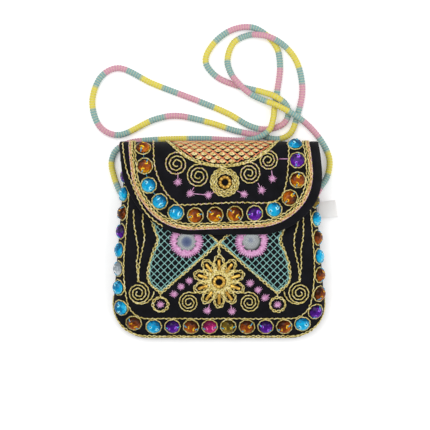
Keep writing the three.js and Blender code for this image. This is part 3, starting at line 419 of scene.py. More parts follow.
def half_outline(side):
    """Plan points and inward directions of the seam from the bottom's middle to the mouth."""
    flat = outline_half(BOTTOM)
    s = np.linspace(0, 1, FLAT_POINTS)
    bottom = np.stack([flat * s, 0 * s + BOTTOM, 0 * s, 0 * s + 1], 1)
    angle = np.linspace(0, PI / 2, CORNER_POINTS)[1:]
    y = BOTTOM + CORNER_RADIUS * (1 - np.cos(angle))
    corner = np.stack([outline_half(y), y, -np.sin(angle), np.cos(angle)], 1)
    y = np.linspace(WIDE_Y, MOUTH, SIDE_POINTS)[1:]
    sides = np.stack([outline_half(y), y, 0 * y - 1, 0 * y], 1)
    return np.vstack([bottom, corner, sides]) * np.array([side, 1, side, 1])


def front_border(inset):
    """Plan line a length of cloth inside the seam: walk in over the front, stop at that length."""
    left, right = half_outline(-1)[::-1], half_outline(1)[1:]
    outline = np.vstack([left, right])
    reach = WALK_REACH * inset * np.linspace(0, 1, WALK_STEPS) ** 2
    x = outline[:, :1] + outline[:, 2:3] * reach
    y = np.clip(outline[:, 1:2] + outline[:, 3:4] * reach, BOTTOM, MOUTH)
    walked = np.linalg.norm(np.diff(front_point(x, y), axis=1), axis=2).cumsum(1)
    stop = np.argmax(walked >= inset, axis=1) + 1
    rows = np.arange(len(outline))
    return np.stack([x[rows, stop], y[rows, stop]], 1), len(left) - 1


def flap_border(inset, top):
    """Line at one inset from the flap's cut, up to a height on each side, dropping to the left."""
    radius = FLAP_CORNER - inset
    flat = FLAP_HALF_WIDTH - FLAP_CORNER - FLAP_SIDE_INSET
    low = FLAP_BOTTOM + inset
    angle = np.linspace(0, PI / 2, CORNER_POINTS)
    across = np.linspace(0, flat, 20)[:-1]
    bottom = np.stack([across, np.full(len(across), low)], 1)
    corner = np.stack([flat + radius * np.sin(angle), low + radius * (1 - np.cos(angle))], 1)
    v = np.linspace(low + radius, top, 60)[1:]
    sides = np.stack([0 * v + flat + radius, v], 1)
    half = np.vstack([bottom, corner, sides])
    both = np.vstack([half[::-1] * [-1, 1], half[1:]])
    both[:, 0] += flap_middle(both[:, 1])
    share = (FLAP_TILT_END - both[:, 0]) / (FLAP_TILT_END + FLAP_HALF_WIDTH)
    both[:, 1] -= FLAP_TILT * np.clip(share, 0, 1)
    return both, len(half) - 1


def at_lengths(surface, line, middle, lengths):
    """Points of a border line at lengths measured over the cloth from its middle point."""
    run = lengths_along(surface(line[:, 0], line[:, 1]))
    run -= run[middle]
    return np.stack([np.interp(lengths, run, line[:, k]) for k in (0, 1)], 1)


print("front border", front_border(10.0)[0].shape, "flap border", flap_border(10.0, FLAP_TOP)[0].shape)

# %% Rings dropped onto the front
DROP_REACH = 6.0
DROP_HALVINGS = 30


def dropped_ring(middle, radius):
    """A ring round a place of the front, dropped along its normal: halve the fall until it lands."""
    point, normal = place(front_point, *[np.array([c]) for c in middle])
    side = unit(np.cross([0, 1, 0], normal))
    up = np.cross(normal, side)
    angle = np.linspace(0, 2 * PI, RING_POINTS, endpoint=False)[:, None]
    ring = point + radius * (np.cos(angle) * side + np.sin(angle) * up)
    low = np.full((RING_POINTS, 1), -DROP_REACH)
    high = np.full((RING_POINTS, 1), DROP_REACH)
    for _ in range(DROP_HALVINGS):
        half = (low + high) / 2
        x, y, z = (ring - normal * half).T
        above = ((np.abs(x) > outline_half(y)) | (z > front_height(x, y)))[:, None]
        low = np.where(above, half, low)
        high = np.where(above, high, half)
    landed = ring - normal * low
    return landed[:, :2]


trial = dropped_ring((70.0, 0.0), 6.0)
print("a 12 mm ring near the side spans", np.ptp(trial, axis=0).round(1), "mm in plan")

# %% [markdown]
# ## Threads and stitches
# Gold thread is two fine strands twisted round each other. The stitches that couch it down pull
# it to one side and the other, so it sways along its line. A bump on one plain tube could hint at
# the twist, but it would be lost in the mesh, so each strand is a tube of its own: a small ring of
# points carried along a path. Short stitches are tubes too, thin at both ends and arched.

# %% Tubes along a line


def directions(points, closed):
    """Unit tangents of a polyline, by the difference of the neighbours."""
    if closed:
        return unit(np.roll(points, -1, 0) - np.roll(points, 1, 0))
    return unit(np.gradient(points, axis=0))


def tube(points, normals, radius, sides=6, closed=False):
    """A ring of points carried along a path. Open ends are closed by a face each."""
    tangent = directions(points, closed)
    out = unit(normals - (normals * tangent).sum(1, keepdims=True) * tangent)
    across = np.cross(tangent, out)
    angle = np.linspace(0, 2 * PI, sides, endpoint=False)[None, :, None]
    radius = np.broadcast_to(np.asarray(radius, float), (len(points),))[:, None, None]
    spokes = np.cos(angle) * out[:, None] + np.sin(angle) * across[:, None]
    ring = points[:, None] + radius * spokes
    count = len(points)
    faces = [grid_faces(count, sides, wrap_rows=closed, wrap_columns=True)]
    if not closed:
        faces.append(np.arange(sides)[None, ::-1])
        faces.append(np.arange((count - 1) * sides, count * sides)[None])
    return ring.reshape(-1, 3), faces


def laid_line(surface, line, step, closed=False):
    """Even points and normals of a line laid on a surface."""
    if closed:
        line = np.vstack([line, line[:1]])
    dense = even_steps(line, step / 3)
    run = lengths_along(surface(dense[:, 0], dense[:, 1]))
    count = max(6, int(round(run[-1] / step)) + 1)
    at = np.linspace(0, run[-1], count)[:-1 if closed else None]
    even = np.stack([np.interp(at, run, dense[:, k]) for k in (0, 1)], 1)
    points, normals = place(surface, even[:, 0], even[:, 1])
    return points, normals, at, run[-1]


trial = np.array([[0, -60.0], [0, -10.0]])
print("50 mm of plan are", laid_line(front_point, trial, 1.0)[3].round(1), "mm on the front")

# %% Twisted gold thread
STEADY = 0.16
SWAYING = 0.32
CHAIN = 0.76
THREAD_PITCH = 2.4
STEPS_PER_TURN = 6.5
STRAND_RADIUS = 0.31
STRAND_SIDES = 4
STRAND_ORBIT = 0.28
ORBIT_HEIGHT = 0.8
THREAD_LIFT = 0.5
WAVE_LENGTH = 4.6
CHAIN_LENGTH = 8.4
SLOW_WAVE = 2.7
SLOW_SWING = 0.4


def gold_thread(surface, line, closed, swing, start):
    """Two strands on a small helix about a laid line that sways from side to side as a sine."""
    points, normals, run, total = laid_line(surface, line, THREAD_PITCH / STEPS_PER_TURN, closed)
    turns = total / THREAD_PITCH
    waves = total / (CHAIN_LENGTH if swing == CHAIN else WAVE_LENGTH)
    slow = waves / SLOW_WAVE
    if closed:
        turns, waves, slow = [max(1, round(n)) for n in (turns, waves, slow)]
    share = 2 * PI * run / total
    swell = 1 + SLOW_SWING * np.sin(share * slow + start * 2)
    sway = swing * np.sin(share * waves + start) * swell
    across = unit(np.cross(directions(points, closed), normals))
    middle = points + normals * THREAD_LIFT + across * sway[:, None]
    phase = (share * turns)[:, None]
    parts = []
    for strand in (0, PI):
        orbit = across * np.cos(phase + strand) + normals * np.sin(phase + strand) * ORBIT_HEIGHT
        parts.append(tube(middle + orbit * STRAND_ORBIT, normals, STRAND_RADIUS, STRAND_SIDES, closed))
    return parts


print("a chain's threads cross every", CHAIN_LENGTH / 2, "mm")

# %% Plain threads and short stitches
FINEST_STEP = 0.7
STEP_PER_RADIUS = 1.6
STITCH_RINGS = 7
STITCH_SIDES = 6


def plain_thread(surface, line, radius, lift, shift=0.0):
    """One round thread laid on a line, lifted off the cloth and shifted to one side."""
    step = max(FINEST_STEP, STEP_PER_RADIUS * radius)
    points, normals, _, _ = laid_line(surface, line, step)
    across = unit(np.cross(directions(points, False), normals))
    return [tube(points + normals * lift + across * shift, normals, radius)]


def stitches(starts, ends, normals, radius, arch, blunt=0.35):
    """Short stitches, all at once: arched paths whose radius swells as a half sine."""
    rings, sides = STITCH_RINGS, STITCH_SIDES
    share = np.linspace(0, 1, rings)[None, :, None]
    swell = np.sin(share * PI)
    path = starts[:, None] * (1 - share) + ends[:, None] * share
    path = path + normals[:, None] * arch * swell
    along = unit(ends - starts)
    out = unit(normals - (normals * along).sum(1, keepdims=True) * along)
    across = np.cross(along, out)
    angle = np.linspace(0, 2 * PI, sides, endpoint=False)[None, None, :, None]
    ring = np.cos(angle) * out[:, None, None] + np.sin(angle) * across[:, None, None]
    reach = radius * (blunt + (1 - blunt) * swell)[..., None]
    points = (path[:, :, None] + reach * ring).reshape(-1, 3)
    first = np.arange(len(starts)) * rings * sides
    one = grid_faces(rings, sides, wrap_columns=True)
    quads = (one[None] + first[:, None, None]).reshape(-1, 4)
    low = np.arange(sides)[None, ::-1] + first[:, None]
    high = np.arange((rings - 1) * sides, rings * sides)[None] + first[:, None]
    return [(points, [quads, low, high])]


print("a stitch has", STITCH_RINGS * STITCH_SIDES, "points")

# %% [markdown]
# ## Where the motifs are
# The stones stand in a row at one inset from the edge, an even step apart. The other motifs have
# shares of the field inside that row, the same shares that placed the solids. Fixed millimetres
# would be shorter to write, but shares move with the bag when its size changes.

# %% Rows of stones
STONE_RADIUS = 5.75
RING_GAP = 0.35
CORD = 0.95
STONE_RING = STONE_RADIUS + RING_GAP + CORD
FLAP_STONE_PITCH = 16.6
FLAP_STONE_INSET = 18.0
FRONT_STONE_PITCH = 15.8
FRONT_STONE_INSET = 11.2
FLAP_STONES = (
    "amber amber blue blue blue amber amber amber purple blue amber amber purple blue"
).split()
FRONT_STONES = (
    "purple blue amber purple blue clear blue blue amber blue purple amber magenta olive amber purple "
    "amber blue purple amber amber blue amber blue olive"
).split()
FLAP_STONES_LEFT = 7
FRONT_STONES_LEFT = 13
LEFT_CORNER_STONE = 9
LEFT_CORNER_STEPS = 3
LEFT_CORNER_EASE = 1.7

flap_line, flap_mid = flap_border(FLAP_STONE_INSET, FLAP_TOP)
flap_count = np.arange(len(FLAP_STONES))
flap_lengths = (flap_count - FLAP_STONES_LEFT + 0.5) * FLAP_STONE_PITCH
flap_spots = at_lengths(flap_point, flap_line, flap_mid, flap_lengths)
front_line, front_mid = front_border(FRONT_STONE_INSET)
front_count = np.arange(len(FRONT_STONES))
eased = LEFT_CORNER_EASE * np.clip(LEFT_CORNER_STONE - front_count, 0, LEFT_CORNER_STEPS)
front_lengths = (front_count - FRONT_STONES_LEFT + 0.5) * FRONT_STONE_PITCH - eased
front_spots = at_lengths(front_point, front_line, front_mid, front_lengths)
print("stones:", len(flap_spots), "on the flap,", len(front_spots), "on the front")

# %% Shares of each field
FRONT_LINE_INSET = FRONT_STONE_INSET + STONE_RING + CORD / 2
FLAP_LINE_INSET = FLAP_STONE_INSET + STONE_RING + CORD
FIELD_LOW = BOTTOM + FRONT_LINE_INSET
FLAP_FIELD_LOW = FLAP_BOTTOM + FLAP_LINE_INSET


def front_spot(share_x, share_y, side=1):
    """A place of the front's field from its shares."""
    y = FIELD_LOW + (FLAP_BOTTOM - FIELD_LOW) * share_y
    return np.array([side * share_x * (side_half(y) - SIDE_ROUND), y])


def flap_spot(share_x, share_y):
    """A place of the flap's field from its shares."""
    x = FLAP_LEAN + share_x * (FLAP_HALF_WIDTH - FLAP_LINE_INSET)
    return np.array([x, FLAP_FIELD_LOW + (TOP - FLAP_FIELD_LOW) * share_y])


print("fields start at", round(FIELD_LOW, 1), "on the front,", round(FLAP_FIELD_LOW, 1), "on the flap")

# %% Motif places
FLOWER = front_spot(0, 0.43)
CROSSING = front_spot(0, 0.9)
MIRROR_SHARE = (0.42, 0.92)
NET_TIP_SHARE = (0.71, 0.29)
SMALL_RING_SHARE = (0.71, 0.15)
SIDE_SPIRAL_SHARE = (0.985, 0.29)
FLOWER_SPIRAL_SHARE = (0.365, 0.175)
SIDE_SPIRAL_RADIUS = 9.6
SMALL_RING_RADIUS = 6.4
FLOWER_SPIRAL_RADIUS = 8.9
MIRROR_RADIUS = 8.6
MIRROR_RING_OUTER = 14.8
PETALS = 10
PETAL_REACH = 22.3
PETAL_ROOT = 8.2
PETAL_WIDTH = 9.0
HIDDEN = 13.0
ROSETTE = flap_spot(0, 0.34)
ROSETTE_RADIUS = 13.0
BEAD_OUTER = 5.8
BEAD_HOLE = 2.9
BEAD_HEIGHT = 3.0
FAN_GAP = 0.8
FAN_LOW = ROSETTE[1] + ROSETTE_RADIUS + FAN_GAP
FAN_HALF = 47.0
FAN_MIDDLE = 3.0
FAN_TOP_SHARE = 0.56
FAN_TOP = MOUTH + FOLD_LENGTH * FAN_TOP_SHARE
NET_EDGE_SHARES = [(0.86, 0.42), (0.88, 0.6), (0.84, 0.78), (0.79, 0.93), (0.84, 1.06)]
NET_TOP_SHARE = 0.88
NET_TAIL = (9, 8)
# each spiral's middle, radius, start in half turns, and hand
FLAP_SPIRALS = [
    (flap_spot(-0.7, 0.63), 10.2, 0.28, 1),
    (flap_spot(-0.385, 0.44), 10.0, 0.42, 1),
    (flap_spot(0.35, 0.48), 9.6, 0.6, -1),
    (flap_spot(0.62, 0.69), 8.8, 0.72, -1),
]


def fan_edge(x):
    """Height of the fan's lower edge: the lower half of an ellipse."""
    share = np.clip((x - FAN_MIDDLE) / FAN_HALF, -1, 1)
    return FAN_LOW + (FAN_TOP - FAN_LOW) * (1 - np.sqrt(1 - share**2))


def net_lines(side):
    """The net's inner diagonal and its wavy outer edge on one side."""
    tip = front_spot(*NET_TIP_SHARE, side)
    edge = [front_spot(*shares, side) for shares in NET_EDGE_SHARES]
    top = FLAP_BOTTOM + HIDDEN
    high = np.array([side * NET_TOP_SHARE * (side_half(top) - SIDE_ROUND), top])
    outer = smooth_line([tip, *edge, high])
    inner = smooth_line([[-side * NET_TAIL[0], CROSSING[1] + NET_TAIL[1]], CROSSING, tip])
    return inner, outer


print("flower at", FLOWER.round(1), "and rosette at", ROSETTE.round(1))

# %% [markdown]
# ## The strap
# A cotton cord wound with pink, sea green and yellow thread, sewn into both side seams and laid
# in loops above the bag. The wound thread makes a rib every 2.2 mm, with pale stitches in the
# grooves. A bevelled curve could carry the route, but its ribs would need a bump. The tube below
# repeats the solid's route, its radius makes the ribs, and its colours run along the length.

# %% The strap's route
STRAP_ROUTE = [
    # from the left seam, round the corner and along the fold
    [-80.1, 34, 8], [-85.1, 43, 7.6], [-89.6, 55, 4.2], [-91.6, 66, 2.8], [-87.8, 76, 2.8],
    [-78, 82.2, 2.8], [-56, 85.2, 2.8], [-14, 86.2, 2.8], [20, 84.8, 3.4], [34, 87.2, 8.6], [43, 94, 9],
    [46, 103, 7.8], [47.4, 113, 2.9],
    # the inner loop
    [49.8, 128, 2.8], [52, 148, 2.8], [49.5, 163, 2.8], [41, 174, 2.8], [28, 181.2, 2.8],
    [10, 178.5, 2.8], [-6, 165.5, 2.8], [-11.4, 152, 2.8], [-2.5, 139.5, 2.8], [17, 131, 2.8],
    [37, 126, 5.2], [48.6, 121.6, 8.5], [56.8, 115.4, 5.6], [59, 107, 2.8], [55.6, 99.6, 2.8],
    # the left loop
    [48, 95.6, 2.8], [38, 94.2, 2.8], [26, 97.2, 2.8], [8, 107.5, 2.8], [-18, 118.5, 2.8],
    [-56, 133, 2.8], [-86, 146.4, 2.8], [-100.5, 139, 2.8], [-108, 117, 2.8], [-101, 96, 2.8],
    [-86, 89.4, 2.8], [-55, 102.6, 2.8], [-37, 105.8, 2.8], [-8, 100, 2.8], [14, 93, 2.8],
    [36, 88.6, 2.8], [50, 85.9, 2.8], [60.5, 90.5, 2.8],
    # the outer loop and down to the right seam
    [67, 107, 2.8], [71, 128, 2.8], [66.5, 151, 2.8], [57, 164, 4.8], [44, 172.2, 8.8],
    [35, 174.4, 7.4], [25, 174.4, 3], [12.5, 168, 2.8], [7.2, 153, 2.8], [10.6, 141, 6],
    [18, 131.6, 8.8], [27, 124, 8.2], [38, 118.8, 7.2], [48, 115, 8.7], [58.5, 109.6, 9.6],
    [67, 104.4, 8.8], [77, 96.4, 4.4], [87.6, 83.5, 2.8], [94, 69, 2.8], [92.4, 55, 4.2],
    [85.3, 43, 7.6], [80.3, 34, 8],
]
STRAP_STEP = 0.3
strap_path = even_steps(smooth_line(STRAP_ROUTE, centripetal=True, per_span=60), STRAP_STEP)
strap_run = lengths_along(strap_path)
print("strap", round(strap_run[-1]), "mm long")

# %% The strap's colours
RIB_PITCH = 2.2
GROOVE_NARROWNESS = 6
STITCHES_ROUND = 5
STITCH_PALE = 0.3
STITCH_DOTS = 0.55
YELLOW_PITCH = 67.0
# lengths from the left seam where the middles of the yellow stretches lie
YELLOW_AT = [26, 94, 195, 261, 328, 400, 492, 559, 627, 690, 757, 824, 892, 959, 1033, 1102]
YELLOW_SHARE = 0.29
PINK_SHARE = 0.29
STRAP_BLEND = 0.03
STRAP_YELLOW = "#e2d446"
STRAP_PINK = "#d391ad"
STRAP_GREEN = "#7cabab"
STRAP_STITCH = "#ddd0a8"
STRAP_FUZZ = 0.5
STRAP_FUZZ_DEPTH = 0.06

strap_material, shader = new_material("wound cotton strap")
# Dull soft thread: the colour comes from the winding, and the sheen lifts its rim a little.
base_colour = shader.inputs["Base Color"]
add_node(strap_material, "ShaderNodeAttribute", to=base_colour, attribute_name="winding")
where = add_node(strap_material, "ShaderNodeTexCoord").outputs["Object"]
hairs = {"Vector": where, "Scale": 1 / (STRAP_FUZZ * MM)}
fuzz = add_node(strap_material, "ShaderNodeTexNoise", hairs).outputs["Fac"]
relief = {"Height": fuzz, "Distance": STRAP_FUZZ_DEPTH * MM}
add_node(strap_material, "ShaderNodeBump", relief, shader.inputs["Normal"])
shader.inputs["Roughness"].default_value = 0.82
shader.inputs["Sheen Weight"].default_value = 0.25


def strap_colours(run, angle):
    """Colour of each point: its stretch by length, blended with pale dots in the grooves."""
    turn = np.interp(run, YELLOW_AT, np.arange(len(YELLOW_AT)))
    before = (run - YELLOW_AT[0]) / YELLOW_PITCH
    after = len(YELLOW_AT) - 1 + (run - YELLOW_AT[-1]) / YELLOW_PITCH
    turn = np.where(run > YELLOW_AT[-1], after, turn)
    turn = np.where(run < YELLOW_AT[0], before, turn) % 1
    from_yellow = np.minimum(turn, 1 - turn) - YELLOW_SHARE / 2
    from_pink = np.abs(turn - 0.5) - PINK_SHARE / 2
    yellow = np.clip(0.5 - from_yellow / STRAP_BLEND, 0, 1)[:, None]
    pink = np.clip(0.5 - from_pink / STRAP_BLEND, 0, 1)[:, None]
    green = np.array(linear(STRAP_GREEN)) * (1 - yellow - pink)
    base = green + np.array(linear(STRAP_YELLOW)) * yellow + np.array(linear(STRAP_PINK)) * pink
    groove = np.cos(PI * run / RIB_PITCH)[:, None] ** GROOVE_NARROWNESS
    half_turn = PI * np.floor(run / RIB_PITCH + 0.5)[:, None]
    dots = 0.5 + 0.5 * np.cos(angle * STITCHES_ROUND + half_turn)
    pale = (groove * (STITCH_PALE + STITCH_DOTS * dots))[..., None]
    return base[:, None, :] * (1 - pale) + np.array(linear(STRAP_STITCH)) * pale


print("the left seam's end is", strap_colours(strap_run[:1], np.zeros((1, 1)))[0, 0, :3].round(2))

# %% Wind the strap
STRAP_DIAMETER = 5.4
STRAP_SIDES = 14
RIB_DEPTH = 0.42
RIB_ROUNDNESS = 0.7
rib = np.abs(np.sin(PI * strap_run / RIB_PITCH)) ** RIB_ROUNDNESS
strap_up = np.broadcast_to([0.0, 0.0, 1.0], strap_path.shape)
strap_radius = STRAP_DIAMETER / 2 - RIB_DEPTH * (1 - rib)
strap_tube = tube(strap_path, strap_up, strap_radius, STRAP_SIDES)
strap = make_piece("strap_winding", [strap_tube], strap_material)
ring_angle = np.linspace(0, 2 * PI, STRAP_SIDES, endpoint=False)[None, :]
colours = strap_colours(strap_run, ring_angle)
winding = strap.data.color_attributes.new("winding", "FLOAT_COLOR", "POINT")
winding.data.foreach_set("color", colours.ravel())
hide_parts("strap")

# %% [markdown]
# ## All the couched gold lines
# The lines are listed before the cloth is made, because the cloth sinks a little under each of
# them. Each entry holds a line on its surface, whether it closes, and how the thread sways on it.
# A chain is two threads that sway against each other and leave small eyes between them. One list
# for each surface means that one function can couch every line in it.

# %% Petals, squiggles and side spirals
PETAL_POINTS = 40
SIDE_SPIRAL_TURNS = 2.9
ARM_POINTS = 40
ARM_GROWTH = 1.5
SQUIGGLE_STEM = 3.0
SQUIGGLE_TOP = 8.0
SPIRAL_ARM = (-2.1, 0.1)
SPIRAL_ARM_REACH = (0.88, 0.5)
SQUIGGLE_SWINGS = {
    -1: ((0, -1.2, 0.0, -1.6, -3.4, -3.8), (0, 0.9, 3.2, 5.3, 3.8, 4.4)),
    1: ((0, -1.4, -4.2, -4.6, -1.8, -2.4), (0, 1.2, 0.8, 2.6, 2.8, 2.2)),
}


def petal_line(index, narrow, root, tip):
    """One looped petal of the flower: an ellipse set out along its spoke."""
    spoke = 2 * PI * index / PETALS + PI / 2
    angle = np.linspace(0, 2 * PI, PETAL_POINTS, endpoint=False)
    reach = (tip + root) / 2 + (tip - root) / 2 * np.cos(angle)
    across = PETAL_WIDTH * narrow / 2 * np.sin(angle)
    x = FLOWER[0] + reach * np.cos(spoke) - across * np.sin(spoke)
    return np.stack([x, FLOWER[1] + reach * np.sin(spoke) + across * np.cos(spoke)], 1)


def side_squiggles(side):
    """Two wavy lines from under the flap that meet over a spiral, then wind into it."""
    x, y = front_spot(*SIDE_SPIRAL_SHARE, side)
    foot = y + SIDE_SPIRAL_RADIUS
    heights = np.linspace(foot + SQUIGGLE_STEM, FLAP_BOTTOM + HIDDEN + SQUIGGLE_TOP, 6)
    lines = []
    for swings in SQUIGGLE_SWINGS[side]:
        points = np.stack([x + np.array(swings), heights], 1)
        lines.append((smooth_line(points), False, SWAYING))
    lines.append((np.linspace([x, foot + SQUIGGLE_STEM], [x, foot], 8), False, CHAIN))
    curl = spiral_line([x, y], SIDE_SPIRAL_RADIUS, 0.5, side, SIDE_SPIRAL_TURNS)
    lines.append((curl, False, STEADY))
    angle = np.linspace(*SPIRAL_ARM, ARM_POINTS)
    growth = np.linspace(0, 1, ARM_POINTS) ** ARM_GROWTH
    reach = SIDE_SPIRAL_RADIUS * (SPIRAL_ARM_REACH[0] + SPIRAL_ARM_REACH[1] * growth)
    arm = np.stack([x - side * reach * np.cos(angle), y + reach * np.sin(angle)], 1)
    lines.append((arm, False, STEADY))
    return lines


print("a side's lines:", len(side_squiggles(1)))

# %% List the gold lines of the front
RING_THREAD = STONE_RADIUS + 0.75
FLOWER_RING = 7.0
FLOWER_SPIRAL_TURNS = 2.8
FLOWER_SPIRAL_START = {-1: 0.35, 1: 0.65}
FLOWER_SPIRAL_ROOT = (0.8, -0.4)
# the loops of each petal: its turn in petals, narrowness, root, tip and sway
PETAL_LOOPS = [
    (0.0, 1.0, PETAL_ROOT, PETAL_REACH, SWAYING),
    (0.0, 0.84, PETAL_ROOT - 1.2, PETAL_REACH - 1.5, SWAYING),
    (0.0, 0.5, PETAL_ROOT - 1.6, PETAL_ROOT + 4.2, STEADY),
    (0.5, 0.62, 6.2, 15.0, SWAYING),
    (0.5, 0.3, 6.6, 13.0, STEADY),
]
front_gold = [(front_border(FRONT_LINE_INSET)[0], False, SWAYING)]
front_gold += [(dropped_ring(spot, RING_THREAD), True, STEADY) for spot in front_spots]
for k in range(PETALS):
    for turn, narrow, root, tip, sway in PETAL_LOOPS:
        front_gold.append((petal_line(k + turn, narrow, root, tip), True, sway))
front_gold.append((ring_line(FLOWER, FLOWER_RING), True, CHAIN))
front_gold.append((np.linspace(CROSSING, FLOWER + [0, PETAL_REACH], 8), False, CHAIN))
for side in (-1, 1):
    inner, outer = net_lines(side)
    front_gold += [(inner, False, CHAIN), (outer, False, CHAIN)]
    ring_middle = front_spot(*SMALL_RING_SHARE, side)
    front_gold.append((dropped_ring(ring_middle, SMALL_RING_RADIUS), True, CHAIN))
    tip = front_spot(*NET_TIP_SHARE, side)
    front_gold.append((np.linspace(tip, ring_middle + [0, SMALL_RING_RADIUS], 6), False, STEADY))
    front_gold += side_squiggles(side)
    curl_middle = front_spot(*FLOWER_SPIRAL_SHARE, side)
    start = FLOWER_SPIRAL_START[side]
    curl = spiral_line(curl_middle, FLOWER_SPIRAL_RADIUS, start, -side, FLOWER_SPIRAL_TURNS)
    petal = FLOWER + PETAL_REACH * np.array(FLOWER_SPIRAL_ROOT) * [side, 1]
    front_gold += [(curl, False, STEADY), (np.linspace(petal, curl[0], 6), False, STEADY)]
print("gold lines on the front:", len(front_gold))

# %% Bows, bands and the left line of the flap
BAND_INSET = 8.8
BAND_END = 2.0
LEFT_LINE_ENDS = (4, 7)
LEFT_LINE_INSET = 3.0
LEFT_LINE_DIP = 3.0
LEFT_LINE_DIP_AT = 45
LEFT_LINE_DIP_REACH = 16


def fan_bow(lift):
    """The fan's bowed edge, a half ellipse whose half axes are shorter by a lift."""
    angle = np.linspace(-PI / 2, PI / 2, 90)
    x = FAN_MIDDLE + (FAN_HALF - lift) * np.sin(angle)
    return np.stack([x, FAN_TOP - (FAN_TOP - FAN_LOW - lift) * np.cos(angle)], 1)


def left_edge_line():
    """A single line beside the band on the left: its inset grows as a bell at half height."""
    v = np.linspace(TOP + LEFT_LINE_ENDS[0], FLAP_BOTTOM + LEFT_LINE_ENDS[1], 60)
    dip = np.exp(-(((v - LEFT_LINE_DIP_AT) / LEFT_LINE_DIP_REACH) ** 2))
    inset = LEFT_LINE_INSET + LEFT_LINE_DIP * dip
    return np.stack([flap_middle(v) - flap_half(v) + inset, v], 1)


def band_line(shift):
    """A line of the flap's edge band, a shift inside the band's middle."""
    return flap_border(BAND_INSET + shift, FLAP_TOP - BAND_END)[0]


print("the band is", round(lengths_along(band_line(0.0))[-1]), "mm long")

# %% List the gold lines of the flap
BAND_GOLD = ((-2.0, SWAYING), (0.0, CHAIN), (2.3, SWAYING))
FAN_BOWS = ((-0.9, STEADY), (0.4, CHAIN))
FLAP_SPIRAL_TURNS = 2.7
FLAP_SPIRAL_ROOT = 3
ROSETTE_TURNS = 4.8
ROSETTE_INSET = 0.6
ROSETTE_HOLE = BEAD_OUTER + 0.7
# the line inside the flap's stones, with a sharp lower left corner
INNER_LINE = [
    [-55.6, 96], [-55.2, 80.6], [-53.4, 60], [-47.4, 45], [-41.8, 36.8], [-35.8, 32], [-34.6, 30.2],
    [-30, 29.7], [-10.5, 30.6], [16.6, 31.8], [41, 31.6], [48.5, 33.6], [53.4, 39], [56.4, 49],
    [58, 64], [58.6, 80], [58.8, 96],
]
flap_inner_line = smooth_line(INNER_LINE, centripetal=True)
flap_gold = [(flap_inner_line, False, SWAYING), (left_edge_line(), False, SWAYING)]
flap_gold += [(ring_line(spot, RING_THREAD), True, STEADY) for spot in flap_spots]
flap_gold += [(fan_bow(lift), False, sway) for lift, sway in FAN_BOWS]
flap_curls = []
for middle, radius, start, hand in FLAP_SPIRALS:
    curl = spiral_line(middle, radius, start, hand, FLAP_SPIRAL_TURNS)
    edge_x = curl[0, 0] + hand * FLAP_SPIRAL_ROOT
    flap_curls.append(curl)
    flap_gold.append((curl, False, STEADY))
    flap_gold.append((np.linspace(curl[0], [edge_x, fan_edge(edge_x)], 8), False, STEADY))
coil_radius = ROSETTE_RADIUS - ROSETTE_INSET
coil = spiral_line(ROSETTE, coil_radius, 0.5, 1, ROSETTE_TURNS, ROSETTE_HOLE)
flap_gold.append((coil, False, SWAYING))
flap_gold += [(band_line(shift), False, sway) for shift, sway in BAND_GOLD]
print("gold lines on the flap:", len(flap_gold))

# %% [markdown]
# ## The cloth
# Black cotton velveteen over a thin wadding. A cloth simulation could drape it, but a stuffed and
# stitched panel keeps its shape, so a formula is enough. Each panel is a grid with more rows where
# it bends, an outer and an inner face, and a closed rim. The outer face sinks under the couched
# threads, so that the field between them stands up a little, as quilting does.

# %% Black velveteen
NAP_PATCH = 9.0
PILE_TUFT = 0.9
PILE_DEPTH = 0.16
cloth_material, shader = new_material("black velveteen")
# A near-black nap that greys in patches and at grazing light, with a fine uneven pile.
where = add_node(cloth_material, "ShaderNodeTexCoord").outputs["Object"]
patches = {"Vector": where, "Scale": 1 / (NAP_PATCH * MM), "Detail": 4.0}
nap = add_node(cloth_material, "ShaderNodeTexNoise", patches).outputs["Fac"]
blacks = (0.3, "#0a0a0d"), (0.72, "#15151b")
add_node(cloth_material, "ShaderNodeValToRGB", {"Fac": nap}, shader.inputs["Base Color"], blacks)
tufts = {"Vector": where, "Scale": 1 / (PILE_TUFT * MM), "Detail": 3.0}
pile = add_node(cloth_material, "ShaderNodeTexNoise", tufts).outputs["Fac"]
relief = {"Height": pile, "Distance": PILE_DEPTH * MM}
add_node(cloth_material, "ShaderNodeBump", relief, shader.inputs["Normal"])
shader.inputs["Roughness"].default_value = 0.9
shader.inputs["Specular IOR Level"].default_value = 0.15
shader.inputs["Sheen Weight"].default_value = 0.08
shader.inputs["Sheen Roughness"].default_value = 0.4
print("cloth material:", cloth_material.name)

# %% Sheets and their dents
DENT_DEPTH = 0.4
DENT_REACH = 1.7
DENT_STEP = 1.6
BLOCK = 2000


def dents(points, surface, lines):
    """How far each point sinks under the nearest couched line: a bell of its distance."""
    laid = [laid_line(surface, line, DENT_STEP, closed)[0] for line, closed, _ in lines]
    laid = np.vstack(laid)
    flat = points.reshape(-1, 3)
    near = np.empty(len(flat))
    for start in range(0, len(flat), BLOCK):
        block = flat[start:start + BLOCK, None] - laid[None]
        near[start:start + BLOCK] = (block**2).sum(2).min(1)
    return DENT_DEPTH * np.exp(-near / DENT_REACH**2).reshape(points.shape[:-1])


def two_faces(outer, inner):
    """A closed sheet from two grids of points: outer face, inner face turned over, and the rim."""
    rows, columns = outer.shape[:2]
    count = rows * columns
    top = grid_faces(rows, columns)
    under = top[:, ::-1] + count
    index = np.arange(count).reshape(rows, columns)
    loop = np.concatenate([index[0, :-1], index[:-1, -1], index[-1, :0:-1], index[:0:-1, 0]])
    ahead = np.roll(loop, -1)
    rim = np.stack([loop, loop + count, ahead + count, ahead], 1)
    points = np.vstack([outer.reshape(-1, 3), inner.reshape(-1, 3)])
    return points, [top, under, rim]


